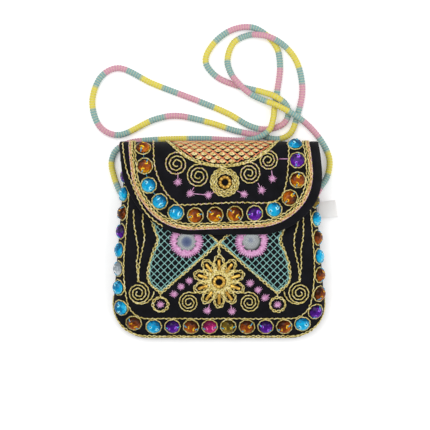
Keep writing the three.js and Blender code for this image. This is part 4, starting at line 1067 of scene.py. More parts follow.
def from_edges(rounds, middle):
    """Shares of a row, -1 to 1: rounds are distances from an edge, then an even middle."""
    inside = np.linspace(rounds[-1], 1.0, middle)[1:]
    half = np.concatenate([rounds, inside])
    return np.concatenate([half - 1, (1 - half)[::-1][1:]])


print("a row from edge to edge:", from_edges(np.array([0.0, 0.1, 0.3]), 3).round(2))

# %% Front panel
FRONT_ROWS_ROUND = 46
FRONT_ROWS = 90
FRONT_COLUMNS_ROUND = 30
FRONT_COLUMNS = 62
CALM_SIDE = 8.0
CALM_BOTTOM = 6
EDGE_SHRINK = 0.9995
EDGE_STEP = 0.05
front_angle = np.linspace(0, PI / 2, FRONT_ROWS_ROUND)
front_rows = np.concatenate([
    BOTTOM + CORNER_RADIUS * (1 - np.cos(front_angle)),
    np.linspace(WIDE_Y, MOUTH, FRONT_ROWS)[1:],
])[:, None]
round_share = 1 - np.cos(np.linspace(0, PI / 2, FRONT_COLUMNS_ROUND))
half_width = outline_half(front_rows)
edge_share = SIDE_ROUND / half_width
half_columns = np.concatenate([
    edge_share * round_share,
    edge_share + (1 - edge_share) * np.linspace(0, 1, FRONT_COLUMNS)[1:],
], axis=1)
front_shares = np.concatenate([half_columns - 1, (1 - half_columns)[:, ::-1][:, 1:]], axis=1)
front_x = front_shares * half_width
front_y = front_rows + 0 * front_x
# the normals are taken a little inside the edge, where the surface has a slope on both sides
inside_y = np.clip(front_y, BOTTOM + EDGE_STEP, MOUTH - EDGE_STEP)
_, front_normals = place(front_point, front_x * EDGE_SHRINK, inside_y)
front_points = front_point(front_x, front_y)
calm = quarter_round(half_width - np.abs(front_x), CALM_SIDE)
calm = calm * np.clip((front_y - BOTTOM) / CALM_BOTTOM, 0, 1)
sink = dents(front_points, front_point, front_gold)
front_outer = front_points - front_normals * (sink * calm)[..., None]
thin = CLOTH * (MOUTH - front_y) / (MOUTH - BOTTOM)
inner_depth = (BODY_DEPTH - SEAM - CLOTH) / (BODY_DEPTH - SEAM)
front_inner = np.stack([
    front_x * (half_width - CLOTH) / half_width, front_y + thin,
    SEAM + (front_points[..., 2] - SEAM) * inner_depth,
], -1)
front_cloth = make_piece("front_cloth", [two_faces(front_outer, front_inner)], cloth_material)
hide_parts("front_panel")

# %% Back panel
BACK_ROWS_ROUND = 40
BACK_ROWS = 50
BACK_COLUMNS = 121
back_angle = np.linspace(0, PI / 2, BACK_ROWS_ROUND)
back_rows = np.concatenate([
    BOTTOM + CORNER_RADIUS * (1 - np.cos(back_angle)),
    np.linspace(WIDE_Y, MOUTH - SEAT, BACK_ROWS)[1:],
])[:, None]
back_x = np.linspace(-1, 1, BACK_COLUMNS)[None, :] * outline_half(back_rows)
back_y = back_rows + 0 * back_x
under = back_height(back_x, back_y)
back_under = np.stack([back_x, back_y, under], -1)
back_upper = np.stack([back_x, back_y, under + CLOTH], -1)
back_cloth = make_piece("back_cloth", [two_faces(back_upper, back_under)], cloth_material)
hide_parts("back_panel")

# %% Flap
HEM = FLAP_THICKNESS / 2
HEM_COLUMNS = 7
FLAP_ROWS_ROUND = 64
FLAP_ROWS = 72
FLAP_END = 1
FLAP_SIDE = 30
FLAP_SIDE_COLUMNS = 34
FLAP_COLUMNS = 60
FLAP_CALM = 5


def flap_inset(x, v):
    """Distance of a place from the flap's cut edge, round the lower corners too."""
    x = np.abs(x - flap_middle(v))
    flat = FLAP_HALF_WIDTH - FLAP_CORNER
    corner_v = FLAP_BOTTOM + FLAP_CORNER
    corner = FLAP_CORNER - np.hypot(np.maximum(x - flat, 0), np.maximum(corner_v - v, 0))
    straight = np.minimum(FLAP_HALF_WIDTH - x, v - FLAP_BOTTOM)
    return np.maximum(np.where((x > flat) & (v < corner_v), corner, straight), 0)


flap_angle = np.linspace(0, PI / 2, FLAP_ROWS_ROUND)
flap_rows = np.concatenate([
    FLAP_BOTTOM + FLAP_CORNER * (1 - np.cos(flap_angle)),
    np.linspace(FLAP_BOTTOM + FLAP_CORNER, FLAP_TOP - FLAP_END, FLAP_ROWS)[1:],
])[:, None]
hem_share = HEM * (1 - np.cos(np.linspace(0, PI / 2, HEM_COLUMNS))) / FLAP_HALF_WIDTH
side_share = np.linspace(hem_share[-1], FLAP_SIDE / FLAP_HALF_WIDTH, FLAP_SIDE_COLUMNS)[1:]
flap_shares = from_edges(np.concatenate([hem_share, side_share]), FLAP_COLUMNS)[None, :]
flap_x = flap_middle(flap_rows) + flap_shares * flap_half(flap_rows)
flap_v = flap_rows + 0 * flap_x
swell = quarter_round(flap_inset(flap_x, flap_v), HEM)
flap_mid_points, flap_normals = place(lambda x, v: flap_point(x, v, 0.5), flap_x, flap_v)
calm = np.clip(flap_inset(flap_x, flap_v) / FLAP_CALM, 0, 1)
flap_sink = dents(flap_mid_points + flap_normals * HEM, flap_point, flap_gold) * calm
flap_outer = flap_mid_points + flap_normals * (HEM * swell - flap_sink)[..., None]
flap_inner = flap_mid_points - flap_normals * (HEM * swell)[..., None]
flap_cloth = make_piece("flap_cloth", [two_faces(flap_outer, flap_inner)], cloth_material, weld=True)
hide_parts("flap")

# %% [markdown]
# ## The gold thread
# Metal thread is pale gold foil wound on a cotton core. It glints on every turn of its twist, and
# the twist here is real shape, not a bump. A metal with a mirror finish would turn black where it
# reflects dark cloth, so the shader is only a quarter metal and its colour carries the rest. Salmon
# and pink threads run beside the gold in the band.

# %% Gold foil and silk floss
FOIL_BREAK = 1.3
gold_material, shader = new_material("gold metal thread")
# Pale yellow gold that breaks into brighter and browner stretches, part metal, part cotton.
where = add_node(gold_material, "ShaderNodeTexCoord").outputs["Object"]
breaks = {"Vector": where, "Scale": 1 / (FOIL_BREAK * MM)}
foil = add_node(gold_material, "ShaderNodeTexNoise", breaks).outputs["Fac"]
golds = (0.32, "#a18a3c"), (0.5, "#ecd97e"), (0.68, "#fff8d4")
add_node(gold_material, "ShaderNodeValToRGB", {"Fac": foil}, shader.inputs["Base Color"], golds)
shader.inputs["Metallic"].default_value = 0.25
shader.inputs["Roughness"].default_value = 0.35


def silk_thread(name, streak_mm, deep, pale):
    """Silk floss: two tones that mix in streaks of a real length, under a soft shine."""
    material, shader = new_material(name)
    where = add_node(material, "ShaderNodeTexCoord").outputs["Object"]
    streaks = {"Vector": where, "Scale": 1 / (streak_mm * MM)}
    floss = add_node(material, "ShaderNodeTexNoise", streaks).outputs["Fac"]
    tones = (0.3, deep), (0.7, pale)
    add_node(material, "ShaderNodeValToRGB", {"Fac": floss}, shader.inputs["Base Color"], tones)
    shader.inputs["Roughness"].default_value = 0.5
    return material


# Flat silk with a soft shine: the strands between the gold threads of the flap's band.
salmon_material = silk_thread("salmon silk thread", 2.0, "#c56f4c", "#eda684")
# Lilac pink floss with a soft shine.
pink_material = silk_thread("pink silk thread", 1.6, "#c778b2", "#efc0e3")
print("threads:", gold_material.name, salmon_material.name, pink_material.name, sep=", ")

# %% Couch the gold thread
SEAM_CORD_INSET = 1.6
SEAM_REACH = 112.0
SEAM_POINTS = 300


def couched(surface, lines):
    """Gold threads on every listed line: one that sways, or two that sway against each other."""
    parts = []
    for line, closed, sway in lines:
        start = rng.uniform(0, 2 * PI)
        parts += gold_thread(surface, line, closed, sway, start)
        if sway == CHAIN:
            parts += gold_thread(surface, line, closed, sway, start + PI)
    return parts


front_couching = make_piece("front_gold_couching", couched(front_point, front_gold), gold_material)
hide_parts("front_gold_cord")
flap_couching = make_piece("flap_gold_couching", couched(flap_point, flap_gold), gold_material)
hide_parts("flap_gold_cord")

seam_border, seam_mid = front_border(SEAM_CORD_INSET)
seam_lengths = np.linspace(-SEAM_REACH, SEAM_REACH, SEAM_POINTS)
seam_line = at_lengths(front_point, seam_border, seam_mid, seam_lengths)
seam_parts = couched(front_point, [(seam_line, False, CHAIN)])
seam_couching = make_piece("seam_gold_couching", seam_parts, gold_material)
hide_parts("seam_cord")

# %% Silk beside the gold of the band
BAND_SALMON = -1.1
SALMON_RADIUS = 0.42
SALMON_LIFT = 0.45
BAND_PINK = -2.5
PINK_EDGE_RADIUS = 0.28
PINK_EDGE_LIFT = 0.35
salmon_parts = plain_thread(flap_point, band_line(BAND_SALMON), SALMON_RADIUS, SALMON_LIFT)
salmon = make_piece("flap_salmon_strands", salmon_parts, salmon_material)
pink_edge = plain_thread(flap_point, band_line(BAND_PINK), PINK_EDGE_RADIUS, PINK_EDGE_LIFT)

# %% [markdown]
# ## The stones
# Round acrylic stones with a foil back, sewn on through two holes near the rim. Clear glass over a
# foil could be traced ray by ray, but a see-through shader doesn't survive in a plain mesh file.
# So each facet is a flat face with a gloss, and a face attribute paints light and shade into it:
# facets leaning one way are painted lighter, and those by the holes carry painted highlights.

# %% The cut of a stone
STONE_GIRDLE = 1.2
STONE_HEIGHT = 4.2
STONE_FACETS = 8
# the tiers above the girdle: shares of the radius and of the height
TIER_REACH = (0.84, 0.6, 0.3)
TIER_HEIGHT = (0.66, 0.9, 1.0)


def stone_template():
    """Points and flat faces of one stone: a girdle, three tiers of facets and a table."""
    tier = 2 * STONE_FACETS
    wide = np.linspace(0, 2 * PI, tier, endpoint=False)
    even = np.linspace(0, 2 * PI, STONE_FACETS, endpoint=False)
    odd = even + PI / STONE_FACETS
    levels = [(wide, 1.0, 0.0), (wide, 1.0, STONE_GIRDLE)]
    for angle, reach, share in zip((odd, even, odd), TIER_REACH, TIER_HEIGHT):
        levels.append((angle, reach, share * STONE_HEIGHT))
    rings = []
    for angle, reach, z in levels:
        ring = np.stack([np.cos(angle) * reach, np.sin(angle) * reach, 0 * angle], 1) * STONE_RADIUS
        rings.append(ring + [0, 0, z])
    k = np.arange(STONE_FACETS)
    ahead = (k + 1) % STONE_FACETS
    low = tier
    mids = low + tier
    tops = mids + STONE_FACETS
    upper = tops + STONE_FACETS
    faces = [grid_faces(2, tier, wrap_columns=True)]
    faces.append(np.stack([low + 2 * k, low + 2 * k + 1, mids + k], 1))
    faces.append(np.stack([low + 2 * k + 1, low + (2 * k + 2) % tier, mids + k], 1))
    faces.append(np.stack([mids + k, low + (2 * k + 2) % tier, mids + ahead], 1))
    faces.append(np.stack([mids + k, mids + ahead, tops + ahead], 1))
    faces.append(np.stack([mids + k, tops + ahead, tops + k], 1))
    faces.append(np.stack([tops + k, tops + ahead, upper + k], 1))
    faces.append(np.stack([upper + k, tops + ahead, upper + ahead], 1))
    faces.append((upper + k)[None])
    faces.append(np.arange(tier)[None, ::-1])
    return np.vstack(rings), faces


def seated(template, point, normal, spin):
    """A template's points turned to a normal, spun about it, and set on a point."""
    side = unit(np.cross([0.0, 1.0, 0.0], normal))
    up = np.cross(normal, side)
    turned_side = side * np.cos(spin) + up * np.sin(spin)
    turned_up = up * np.cos(spin) - side * np.sin(spin)
    x, y, z = template[:, :1], template[:, 1:2], template[:, 2:]
    return point + x * turned_side + y * turned_up + z * normal


def stone_top(reach):
    """Height of a stone's face at a share of its radius, along the tiers."""
    heights = np.array([1.0, *TIER_HEIGHT[::-1]]) * STONE_HEIGHT
    return np.interp(reach, [0.0, *TIER_REACH[::-1]], heights)


template, template_faces = stone_template()
print("a stone has", len(template), "points and", sum(len(group) for group in template_faces), "faces")

# %% Set the stones
FRONT_SHADE = -0.23
SHADE_SPREAD = 0.05
SEWING_SPREAD = 0.35


def row_headings(points, normals):
    """Direction of each stone's row on its surface, from the line through its neighbours."""
    along = np.gradient(points, axis=0)
    return unit(along - normals * (along * normals).sum(1, keepdims=True))


stone_points, stone_normals = place(front_point, front_spots[:, 0], front_spots[:, 1])
flap_stone_points, flap_stone_normals = place(flap_point, flap_spots[:, 0], flap_spots[:, 1])
all_points = np.vstack([flap_stone_points, stone_points])
all_normals = np.vstack([flap_stone_normals, stone_normals])
all_colours = np.array(FLAP_STONES + FRONT_STONES)
all_nodes = [f"flap_stone_{i + 1:02d}" for i in range(len(FLAP_STONES))]
all_nodes += [f"front_stone_{i + 1:02d}" for i in range(len(FRONT_STONES))]
all_spins = rng.uniform(0, 2 * PI, len(all_points))
in_front = np.arange(len(all_points)) >= len(FLAP_STONES)
all_shades = np.where(in_front & (all_colours != "blue"), FRONT_SHADE, 0.0)
all_shades = all_shades + rng.normal(0, SHADE_SPREAD, len(all_points))
all_rows = np.vstack([
    row_headings(flap_stone_points, flap_stone_normals), row_headings(stone_points, stone_normals),
])
sewing_turn = rng.normal(0, SEWING_SPREAD, (len(all_points), 1))
all_sewing = all_rows * np.cos(sewing_turn) + np.cross(all_normals, all_rows) * np.sin(sewing_turn)
print("stones set:", len(all_points))

# %% Colour the stones
HOLE_REACH = 0.54
# painted light: facets are painted lighter as they lean towards this heading
PAINTED_LIGHT_HEADING = -1.3
PAINTED_LIGHT_SPREAD = 0.6
TONE_LEVEL = 0.34
PAINTED_LIGHT_LEAN = 0.5
TONE_SPREAD = (-0.12, 0.16)
TONE_STOPS = (0.0, 0.36, 0.66, 1.0)
# painted highlights: tones of the facets nearest to each hole, from the nearest on
BRIGHT_HOLE_HIGHLIGHTS = (1.0, 1.0, 0.92, 0.8, 0.7)
DIM_HOLE_HIGHLIGHTS = (1.0, 0.86, 0.72, 0.64)
# each colour's tones, from deep to the painted highlight of its hottest facets
STONE_COLOURS = {
    "amber": ("#331303", "#7f380a", "#bd600e", "#ffd329"),
    "blue": ("#004a72", "#038fc6", "#14b9e8", "#aef4ff"),
    "purple": ("#1a0436", "#400a76", "#6a18aa", "#b972ff"),
    "magenta": ("#640838", "#b01a68", "#d63384", "#ff9acb"),
    "olive": ("#2b2307", "#6f5a18", "#a18424", "#efd63e"),
    "clear": ("#7d868c", "#bcc5cb", "#e0e6ea", "#ffffff"),
}


def painted_facet_light(mesh, picks):
    """Painted light of each facet: lighter as it leans one way, with painted highlights by the holes.
    """
    shades = all_shades[picks][:, None]
    normals = np.empty(len(mesh.polygons) * 3)
    centres = np.empty(len(mesh.polygons) * 3)
    mesh.polygons.foreach_get("normal", normals)
    mesh.polygons.foreach_get("center", centres)
    normals = normals.reshape(len(picks), -1, 3)
    centres = centres.reshape(len(picks), -1, 3) / MM
    heading = rng.normal(PAINTED_LIGHT_HEADING, PAINTED_LIGHT_SPREAD, (len(picks), 1))
    away = np.stack([np.cos(heading), np.sin(heading), 0 * heading], -1)
    lean = (normals * away).sum(2)
    tone = TONE_LEVEL + PAINTED_LIGHT_LEAN * lean + rng.uniform(*TONE_SPREAD, lean.shape) + shades
    # painted highlights on the facets nearest to each hole
    rise = all_normals[picks] * (stone_top(HOLE_REACH) + SEAT)
    for hand, highlight in ((1, BRIGHT_HOLE_HIGHLIGHTS), (-1, DIM_HOLE_HIGHLIGHTS)):
        hole = all_points[picks] + all_sewing[picks] * hand * STONE_RADIUS * HOLE_REACH + rise
        gap = np.linalg.norm(centres - hole[:, None], axis=2)
        nearest = np.argsort(gap, axis=1)[:, :len(highlight)]
        np.put_along_axis(tone, nearest, np.array([highlight]) + 0.5 * shades, 1)
    return np.clip(tone, 0, 1).ravel()


for colour, tones in STONE_COLOURS.items():
    stone_material, shader = new_material(f"{colour} acrylic stone")
    # Foil-backed acrylic under a thin gloss. The facets carry painted light: deep ones beside painted
    # highlights.
    facet = add_node(stone_material, "ShaderNodeAttribute", attribute_name="facet").outputs["Fac"]
    stops = list(zip(TONE_STOPS, tones))
    add_node(stone_material, "ShaderNodeValToRGB", {"Fac": facet}, shader.inputs["Base Color"], stops)
    shader.inputs["Roughness"].default_value = 0.1
    shader.inputs["Specular IOR Level"].default_value = 0.16
    picks = np.flatnonzero(all_colours == colour)
    parts = []
    for i in picks:
        base = all_points[i] + all_normals[i] * SEAT
        parts.append((seated(template, base, all_normals[i], all_spins[i]), template_faces))
    stones = make_piece(f"{colour}_stones", parts, stone_material, smooth=False)
    depth = stones.data.attributes.new("facet", "FLOAT", "FACE")
    depth.data.foreach_set("value", painted_facet_light(stones.data, picks))
    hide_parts(*[all_nodes[i] for i in picks])

# %% Stitches through the stones
HOLE_RADIUS = 0.7
HOLE_DEPTH = 0.7
HOLE_LIFT = 0.06
THREAD_REACH = 0.62
SEWN_REACH = 1.07
SEWN_HEIGHT = 0.5
SEWN_RADIUS = 0.45
SEWN_ARCH = 0.75
LINKED_STONES = 3
LINK_RADIUS = 0.2
stitch_material, shader = new_material("blue sewing thread")
# Plain matt cotton in a clear light blue.
shader.inputs["Base Color"].default_value = linear("#4fb0d6")
shader.inputs["Roughness"].default_value = 0.7
hole_shade_material, shader = new_material("painted hole shade")
# Painted shade: a dark plug stands for the shaded inside of a hole bored through the stone to the black
# cloth.
shader.inputs["Base Color"].default_value = linear("#0b1216")
shader.inputs["Roughness"].default_value = 0.6

ways = np.vstack([all_sewing, -all_sewing]) * STONE_RADIUS
ups = np.vstack([all_normals, all_normals])
sewn_middles = np.vstack([all_points, all_points]) + ups * SEAT
hole_tops = sewn_middles + ways * HOLE_REACH + ups * (stone_top(HOLE_REACH) + HOLE_LIFT)
thread_starts = sewn_middles + ways * THREAD_REACH + ups * stone_top(THREAD_REACH)
thread_ends = sewn_middles + ways * SEWN_REACH + ups * SEWN_HEIGHT
sewn = stitches(thread_starts, thread_ends, ups, SEWN_RADIUS, SEWN_ARCH)
for k in range(LINKED_STONES):
    row = np.linspace(flap_spots[k], flap_spots[k + 1], 20)
    sewn += plain_thread(flap_point, row, LINK_RADIUS, LINK_RADIUS)
make_piece("stone_stitches", sewn, stitch_material)
# dark plugs of painted shade in the stones' holes
hole_floors = hole_tops - ups * HOLE_DEPTH
bored = stitches(hole_floors, hole_tops, unit(ways), HOLE_RADIUS, 0.0, blunt=0.9)
make_piece("stone_hole_shades", bored, hole_shade_material)

# %% [markdown]
# ## Nets of laid thread
# Each net is two sets of slanting threads, one laid over the other and tied down where they
# cross. A picture of a lattice would lie flat, and a wireframe of a grid would follow the grid's
# edges. Here the threads are cut where they leave the field, so the field's outline does the
# shaping.

# %% Threads inside an outline
STEPS_PER_CELL = 8
SHORTEST_RUN = 4
UPPER_LIFT = 2.1
LOOSE = 0.4
FAN_INSET = 2.0


def in_field(points, field):
    """True inside a field's outline, by the odd count of a ray's crossings, and outside its hole."""
    outline, middle, radius = field
    x, y = points[:, :1], points[:, 1:]
    x1, y1 = outline[:, 0], outline[:, 1]
    x2, y2 = np.roll(x1, -1), np.roll(y1, -1)
    span = (y1 > y) != (y2 > y)
    cross = x1 + (y - y1) * (x2 - x1) / np.where(y2 == y1, 1e-9, y2 - y1)
    inside = (span & (x < cross)).sum(1) % 2 == 1
    return inside & (np.hypot(points[:, 0] - middle[0], points[:, 1] - middle[1]) > radius)


def field_reach(field, cell):
    """How many half cells reach across a field."""
    size = field[0].max(0) - field[0].min(0)
    return int(np.ceil(max(size / (np.array(cell) / 2)))) + 2


def slanting_threads(field, cell, origin, slope):
    """Runs of one set of parallel slanting lines inside a field, cell wide and high."""
    step = np.array([cell[0], slope * cell[1]]) / 2
    reach = field_reach(field, cell)
    t = np.linspace(-reach, reach, reach * 2 * STEPS_PER_CELL)[:, None]
    runs = []
    for k in range(-reach, reach):
        line = origin + np.array([k * cell[0], 0]) + t * step
        inside = in_field(line, field).astype(int)
        edges = np.flatnonzero(np.diff(np.concatenate([[0], inside, [0]])))
        runs += [line[a:b] for a, b in edges.reshape(-1, 2) if b - a > SHORTEST_RUN]
    return runs


def crossings(field, cell, origin):
    """Places where the two sets of slanting lines cross inside a field."""
    steps = np.arange(-field_reach(field, cell), field_reach(field, cell))
    i, j = [a.ravel() for a in np.meshgrid(steps, steps)]
    spots = origin + np.stack([(i + j) * cell[0] / 2, (i - j) * cell[1] / 2], 1)
    return spots[in_field(spots, field)]


def laid_net(surface, field, cell, origin, radius, shifts=(0.0,)):
    """Two sets of threads, the second over the first. Shifts lay each thread more than once."""
    parts = []
    for slope, lift in ((1, radius), (-1, radius * UPPER_LIFT)):
        for run in slanting_threads(field, cell, origin, slope):
            loose = rng.uniform(-LOOSE, LOOSE)
            for shift in shifts:
                parts += plain_thread(surface, run, radius, lift, shift + loose)
    return parts


# a field is its outline, and the middle and radius of its hole
fan_field = (fan_bow(FAN_INSET), (0.0, 0.0), 0.0)
print("the fan's field is", np.ptp(fan_field[0], axis=0).round(1), "mm")

# %% Sea green nets
NET_CELL = (6.1, 6.1)
NET_RADIUS = 0.33
NET_EDGE = 1.6
NET_CLEARANCE = MIRROR_RING_OUTER - 0.8
TIE_HALF = 0.85
TIE_RADIUS = 0.42
TIE_ARCH = 0.25
TIE_LIFT = 2.6
# Greyed sea green with the soft streaky shine of silk floss.
teal_material = silk_thread("sea green silk thread", 1.5, "#62a09c", "#aee0d9")

for word, side in (("left", -1), ("right", 1)):
    inner, outer = net_lines(side)
    turned_back = CROSSING[0] + side * np.abs(inner[:, 0] - CROSSING[0])
    # above the crossing the outline turns back, so that no thread fills the gap between the nets
    bound_x = np.where(inner[:, 1] > CROSSING[1], turned_back, inner[:, 0])
    bound = np.stack([bound_x, inner[:, 1]], 1)
    mirror_middle = front_spot(*MIRROR_SHARE, side)
    field = (np.vstack([bound, outer[1:]]), mirror_middle, NET_CLEARANCE)
    threads = laid_net(front_point, field, NET_CELL, mirror_middle, NET_RADIUS)
    for edge in (inner[inner[:, 1] < CROSSING[1]], outer):
        threads += plain_thread(front_point, edge, NET_RADIUS, NET_RADIUS, -side * NET_EDGE)
    ties = crossings(field, NET_CELL, mirror_middle)
    tie_points, tie_normals = place(front_point, ties[:, 0], ties[:, 1])
    tie_points = tie_points + tie_normals * NET_RADIUS * TIE_LIFT
    offset = np.array([TIE_HALF, 0.0, 0.0])
    threads += stitches(tie_points - offset, tie_points + offset, tie_normals, TIE_RADIUS, TIE_ARCH)
    net = make_piece(f"net_threads_{word}", threads, teal_material)
    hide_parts(f"net_{word}")

# %% Orange fan
FAN_CELL = (7.9, 6.3)
FAN_RADIUS = 0.27
FAN_PAIR = 0.25
# Bright orange floss, paler where the strands spread.
orange_material = silk_thread("orange silk thread", 1.6, "#cb683a", "#f2a06e")
fan_origin = np.array([FAN_MIDDLE, FAN_LOW])
pair = (-FAN_PAIR, FAN_PAIR)
fan_threads = laid_net(flap_point, fan_field, FAN_CELL, fan_origin, FAN_RADIUS, pair)
fan = make_piece("fan_threads", fan_threads, orange_material)
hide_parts("fan_net")

# %% Sequins in the fan
SEQUIN_SIZE = (2.6, 1.55)
SEQUIN_RISE = 0.85
SEQUIN_LIFT = 0.2
SEQUIN_SIDES = 14
SEQUIN_DENT = 1.6
# the cup's section, as (reach, height) from its pierced middle to its rim and back
SEQUIN_PROFILE = [(0.16, 0.0), (0.16, 0.15), (1.0, 0.35), (1.0, 0.2)]
sequin_material, shader = new_material("gold sequin")
# Thin pressed foil in pale brass, uneven and bright.
where = add_node(sequin_material, "ShaderNodeTexCoord").outputs["Object"]
presses = {"Vector": where, "Scale": 1 / (SEQUIN_DENT * MM)}
foil = add_node(sequin_material, "ShaderNodeTexNoise", presses).outputs["Fac"]
brasses = (0.35, "#cdae52"), (0.6, "#fbedb4")
add_node(sequin_material, "ShaderNodeValToRGB", {"Fac": foil}, shader.inputs["Base Color"], brasses)
shader.inputs["Metallic"].default_value = 0.3
shader.inputs["Roughness"].default_value = 0.3


def turned_template(profile, sides):
    """A closed profile of (reach, height) points turned round the upright axis."""
    angle = np.linspace(0, 2 * PI, sides, endpoint=False)[None, :]
    reach, z = [np.array(column)[:, None] for column in zip(*profile)]
    points = np.stack([reach * np.cos(angle), reach * np.sin(angle), z + 0 * angle], -1).reshape(-1, 3)
    return points, [grid_faces(len(profile), sides, wrap_rows=True, wrap_columns=True)[:, ::-1]]


sequin_spots = crossings(fan_field, FAN_CELL, fan_origin + [FAN_CELL[0] / 2, 0])
seats, sequin_normals = place(flap_point, sequin_spots[:, 0], sequin_spots[:, 1] + SEQUIN_RISE)
seats = seats + sequin_normals * SEQUIN_LIFT
sequin, sequin_faces = turned_template(SEQUIN_PROFILE, SEQUIN_SIDES)
sequin = sequin * [*SEQUIN_SIZE, 1]
cups = [(seated(sequin, p, n, 0), sequin_faces) for p, n in zip(seats, sequin_normals)]
sequins = make_piece("fan_sequins", cups, sequin_material)
print("sequins:", len(sequin_spots))

# %% [markdown]
# ## Mirrors, stars, rosette and flower
# The small mirrors have no holes, so a ring of radial stitches laps over the rim and holds them.
# One torus could stand for the ring, but its edge would be too clean, so every stitch is a tube of
# its own length. Pink stars are thirteen straight stitches out of one middle. The rosette and the
# flower each sit round a ring of gold beads, and the flower's petals frame a gold bugle bead each.

# %% Mirror glass
MIRROR_THICKNESS = 1.2
MIRROR_BEVEL = 0.9
MIRROR_SIDES = 40
MIRROR_HOLE = 0.02
MIRROR_RINGS = (0.25, 0.5, 0.7, 0.85, 0.96)
# the painted reflection of each glass, a dull blue spot: its place from the middle, and how much paler
# it is
REFLECTION_SPOT = {-1: (0.3, -0.6, 0.0), 1: (-0.9, 0.7, 0.42)}
mirror_material, shader = new_material("mirror glass")
# Thin silvered glass with a painted reflection, a dull blue spot turning grey, and painted shade
# darkening the edge under the stitches.
reflection_share = add_node(mirror_material, "ShaderNodeAttribute", attribute_name="painted_reflection").outputs["Fac"]
silvers = (
    (0.0, "#4d5d8f"), (0.4, "#7f8cab"), (0.62, "#c3c9cc"), (0.86, "#b6babb"), (1.0, "#3c3f42"),
)
add_node(mirror_material, "ShaderNodeValToRGB", {"Fac": reflection_share}, shader.inputs["Base Color"], silvers)
shader.inputs["Metallic"].default_value = 1.0
shader.inputs["Roughness"].default_value = 0.16

top_rings = [(MIRROR_RADIUS * share, MIRROR_THICKNESS) for share in MIRROR_RINGS]
disc_profile = [
    (MIRROR_HOLE, 0), (MIRROR_HOLE, MIRROR_THICKNESS), *top_rings,
    (MIRROR_RADIUS, MIRROR_BEVEL), (MIRROR_RADIUS, 0),
]
disc, disc_faces = turned_template(disc_profile, MIRROR_SIDES)
print("a mirror has", len(disc), "points")

# %% Mirrors and their stitched rings
MIRROR_STITCHES = 44
STITCH_OUTER = (13.3, 14.7)
STITCH_INNER = (6.9, 8.9)
STITCH_HEIGHTS = (1.9, 0.4)
STITCH_RADIUS = 0.9
STITCH_ARCH = 0.7
RIM_REACH = 11.4
RIM_HEIGHT = 0.9
RIM_RADIUS = 1.1


def radial_stitches(point, normal, count, inner, outer, turn=0.0):
    """Starts, ends and normals of stitches on a wheel. inner and outer are (reach, height)."""
    angle = np.linspace(0, 2 * PI, count, endpoint=False) + turn
    pairs = []
    for reach, z in (inner, outer):
        wheel = np.stack([reach * np.cos(angle), reach * np.sin(angle), 0 * angle + z], 1)
        pairs.append(seated(wheel, point, normal, 0))
    return pairs[0], pairs[1], np.broadcast_to(normal, (count, 3))


for word, side in (("left", -1), ("right", 1)):
    middle = front_spot(*MIRROR_SHARE, side)
    point, normal = [a[0] for a in place(front_point, middle[:1], middle[1:])]
    laid_disc = seated(disc, point + normal * SEAT, normal, 0)
    glass = make_piece(f"mirror_glass_{word}", [(laid_disc, disc_faces)], mirror_material, smooth=False)
    # painted reflection and rim shade: the colour runs from the spot out to the dark edge
    spot_x, spot_y, paler = REFLECTION_SPOT[side]
    off_spot = np.hypot(disc[:, 0] - spot_x, disc[:, 1] - spot_y) / MIRROR_RADIUS
    painted_reflection = glass.data.attributes.new("painted_reflection", "FLOAT", "POINT")
    painted_reflection.data.foreach_set("value", paler + (1 - paler) * off_spot)
    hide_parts(f"mirror_{word}")
    outer = (rng.uniform(*STITCH_OUTER, MIRROR_STITCHES), STITCH_HEIGHTS[1])
    inner = (rng.uniform(*STITCH_INNER, MIRROR_STITCHES), STITCH_HEIGHTS[0])
    spokes = radial_stitches(point, normal, MIRROR_STITCHES, inner, outer)
    wheel = stitches(*spokes, STITCH_RADIUS, STITCH_ARCH, blunt=0.6)
    rim = np.column_stack([ring_line((0, 0), RIM_REACH), np.full(RING_POINTS, RIM_HEIGHT)])
    rim_points = seated(rim, point, normal, 0)
    rim_normals = np.broadcast_to(normal, rim_points.shape)
    wheel.append(tube(rim_points, rim_normals, RIM_RADIUS, closed=True))
    ring = make_piece(f"mirror_stitches_{word}", wheel, pink_material)
    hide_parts(f"mirror_ring_{word}")

# %% Places of the stars and their tails
FLAP_STARS = np.array([
    [-34.5, 48.7], [-24.2, 39.3], [-9, 37.9], [20.9, 38.6], [35.7, 42], [44.6, 51.7],
])
FRONT_STARS = np.array([
    [-25, -34], [-32, -39], [-38, -45.3], [26.2, -36.1], [32.8, -41.8], [38.8, -48.4],
    [-9.9, -59.4], [11, -60],
])
FLAP_TAILS = [
    ([-34.5, 48.7], [-34.5, 57]), ([-24.2, 39.3], [-21, 44.5]), ([-24.2, 39.3], [-9, 37.9]),
    ([-9, 37.9], [-3, 41]), ([20.9, 38.6], [15, 41.5]), ([35.7, 42], [32.6, 48]),
    ([44.6, 51.7], [44, 58.5]), ([50.6, 68.2], [58.2, 68.2]),
]
FRONT_TAILS = [([38.8, -48.4], [42.5, -45.5]), ([-9.9, -59.4], [-8, -54]), ([11, -60], [10, -55])]
ring_stars = np.array([front_spot(*SMALL_RING_SHARE, side) for side in (-1, 1)])
front_stars = np.vstack([FRONT_STARS, ring_stars])
print("stars:", len(FLAP_STARS), "on the flap,", len(front_stars), "on the front")

# %% Pink stars and couching stitches
STAR_REACH = 3.9
STAR_SPREAD = (0.76, 1.06)
STAR_ARMS = 13
STAR_MIDDLE = (0.2, 1.0)
STAR_TIP_HEIGHT = 0.3
STAR_RADIUS = 0.36
STAR_ARCH = 0.35
TAIL_RADIUS = 0.32
TAIL_LIFT = 0.3
COUCH_HALF = 0.9
COUCH_RADIUS = 0.24
COUCH_PITCH = 4.4
COUCH_SHOWN = 0.6
COUCH_ARCH = 1.1


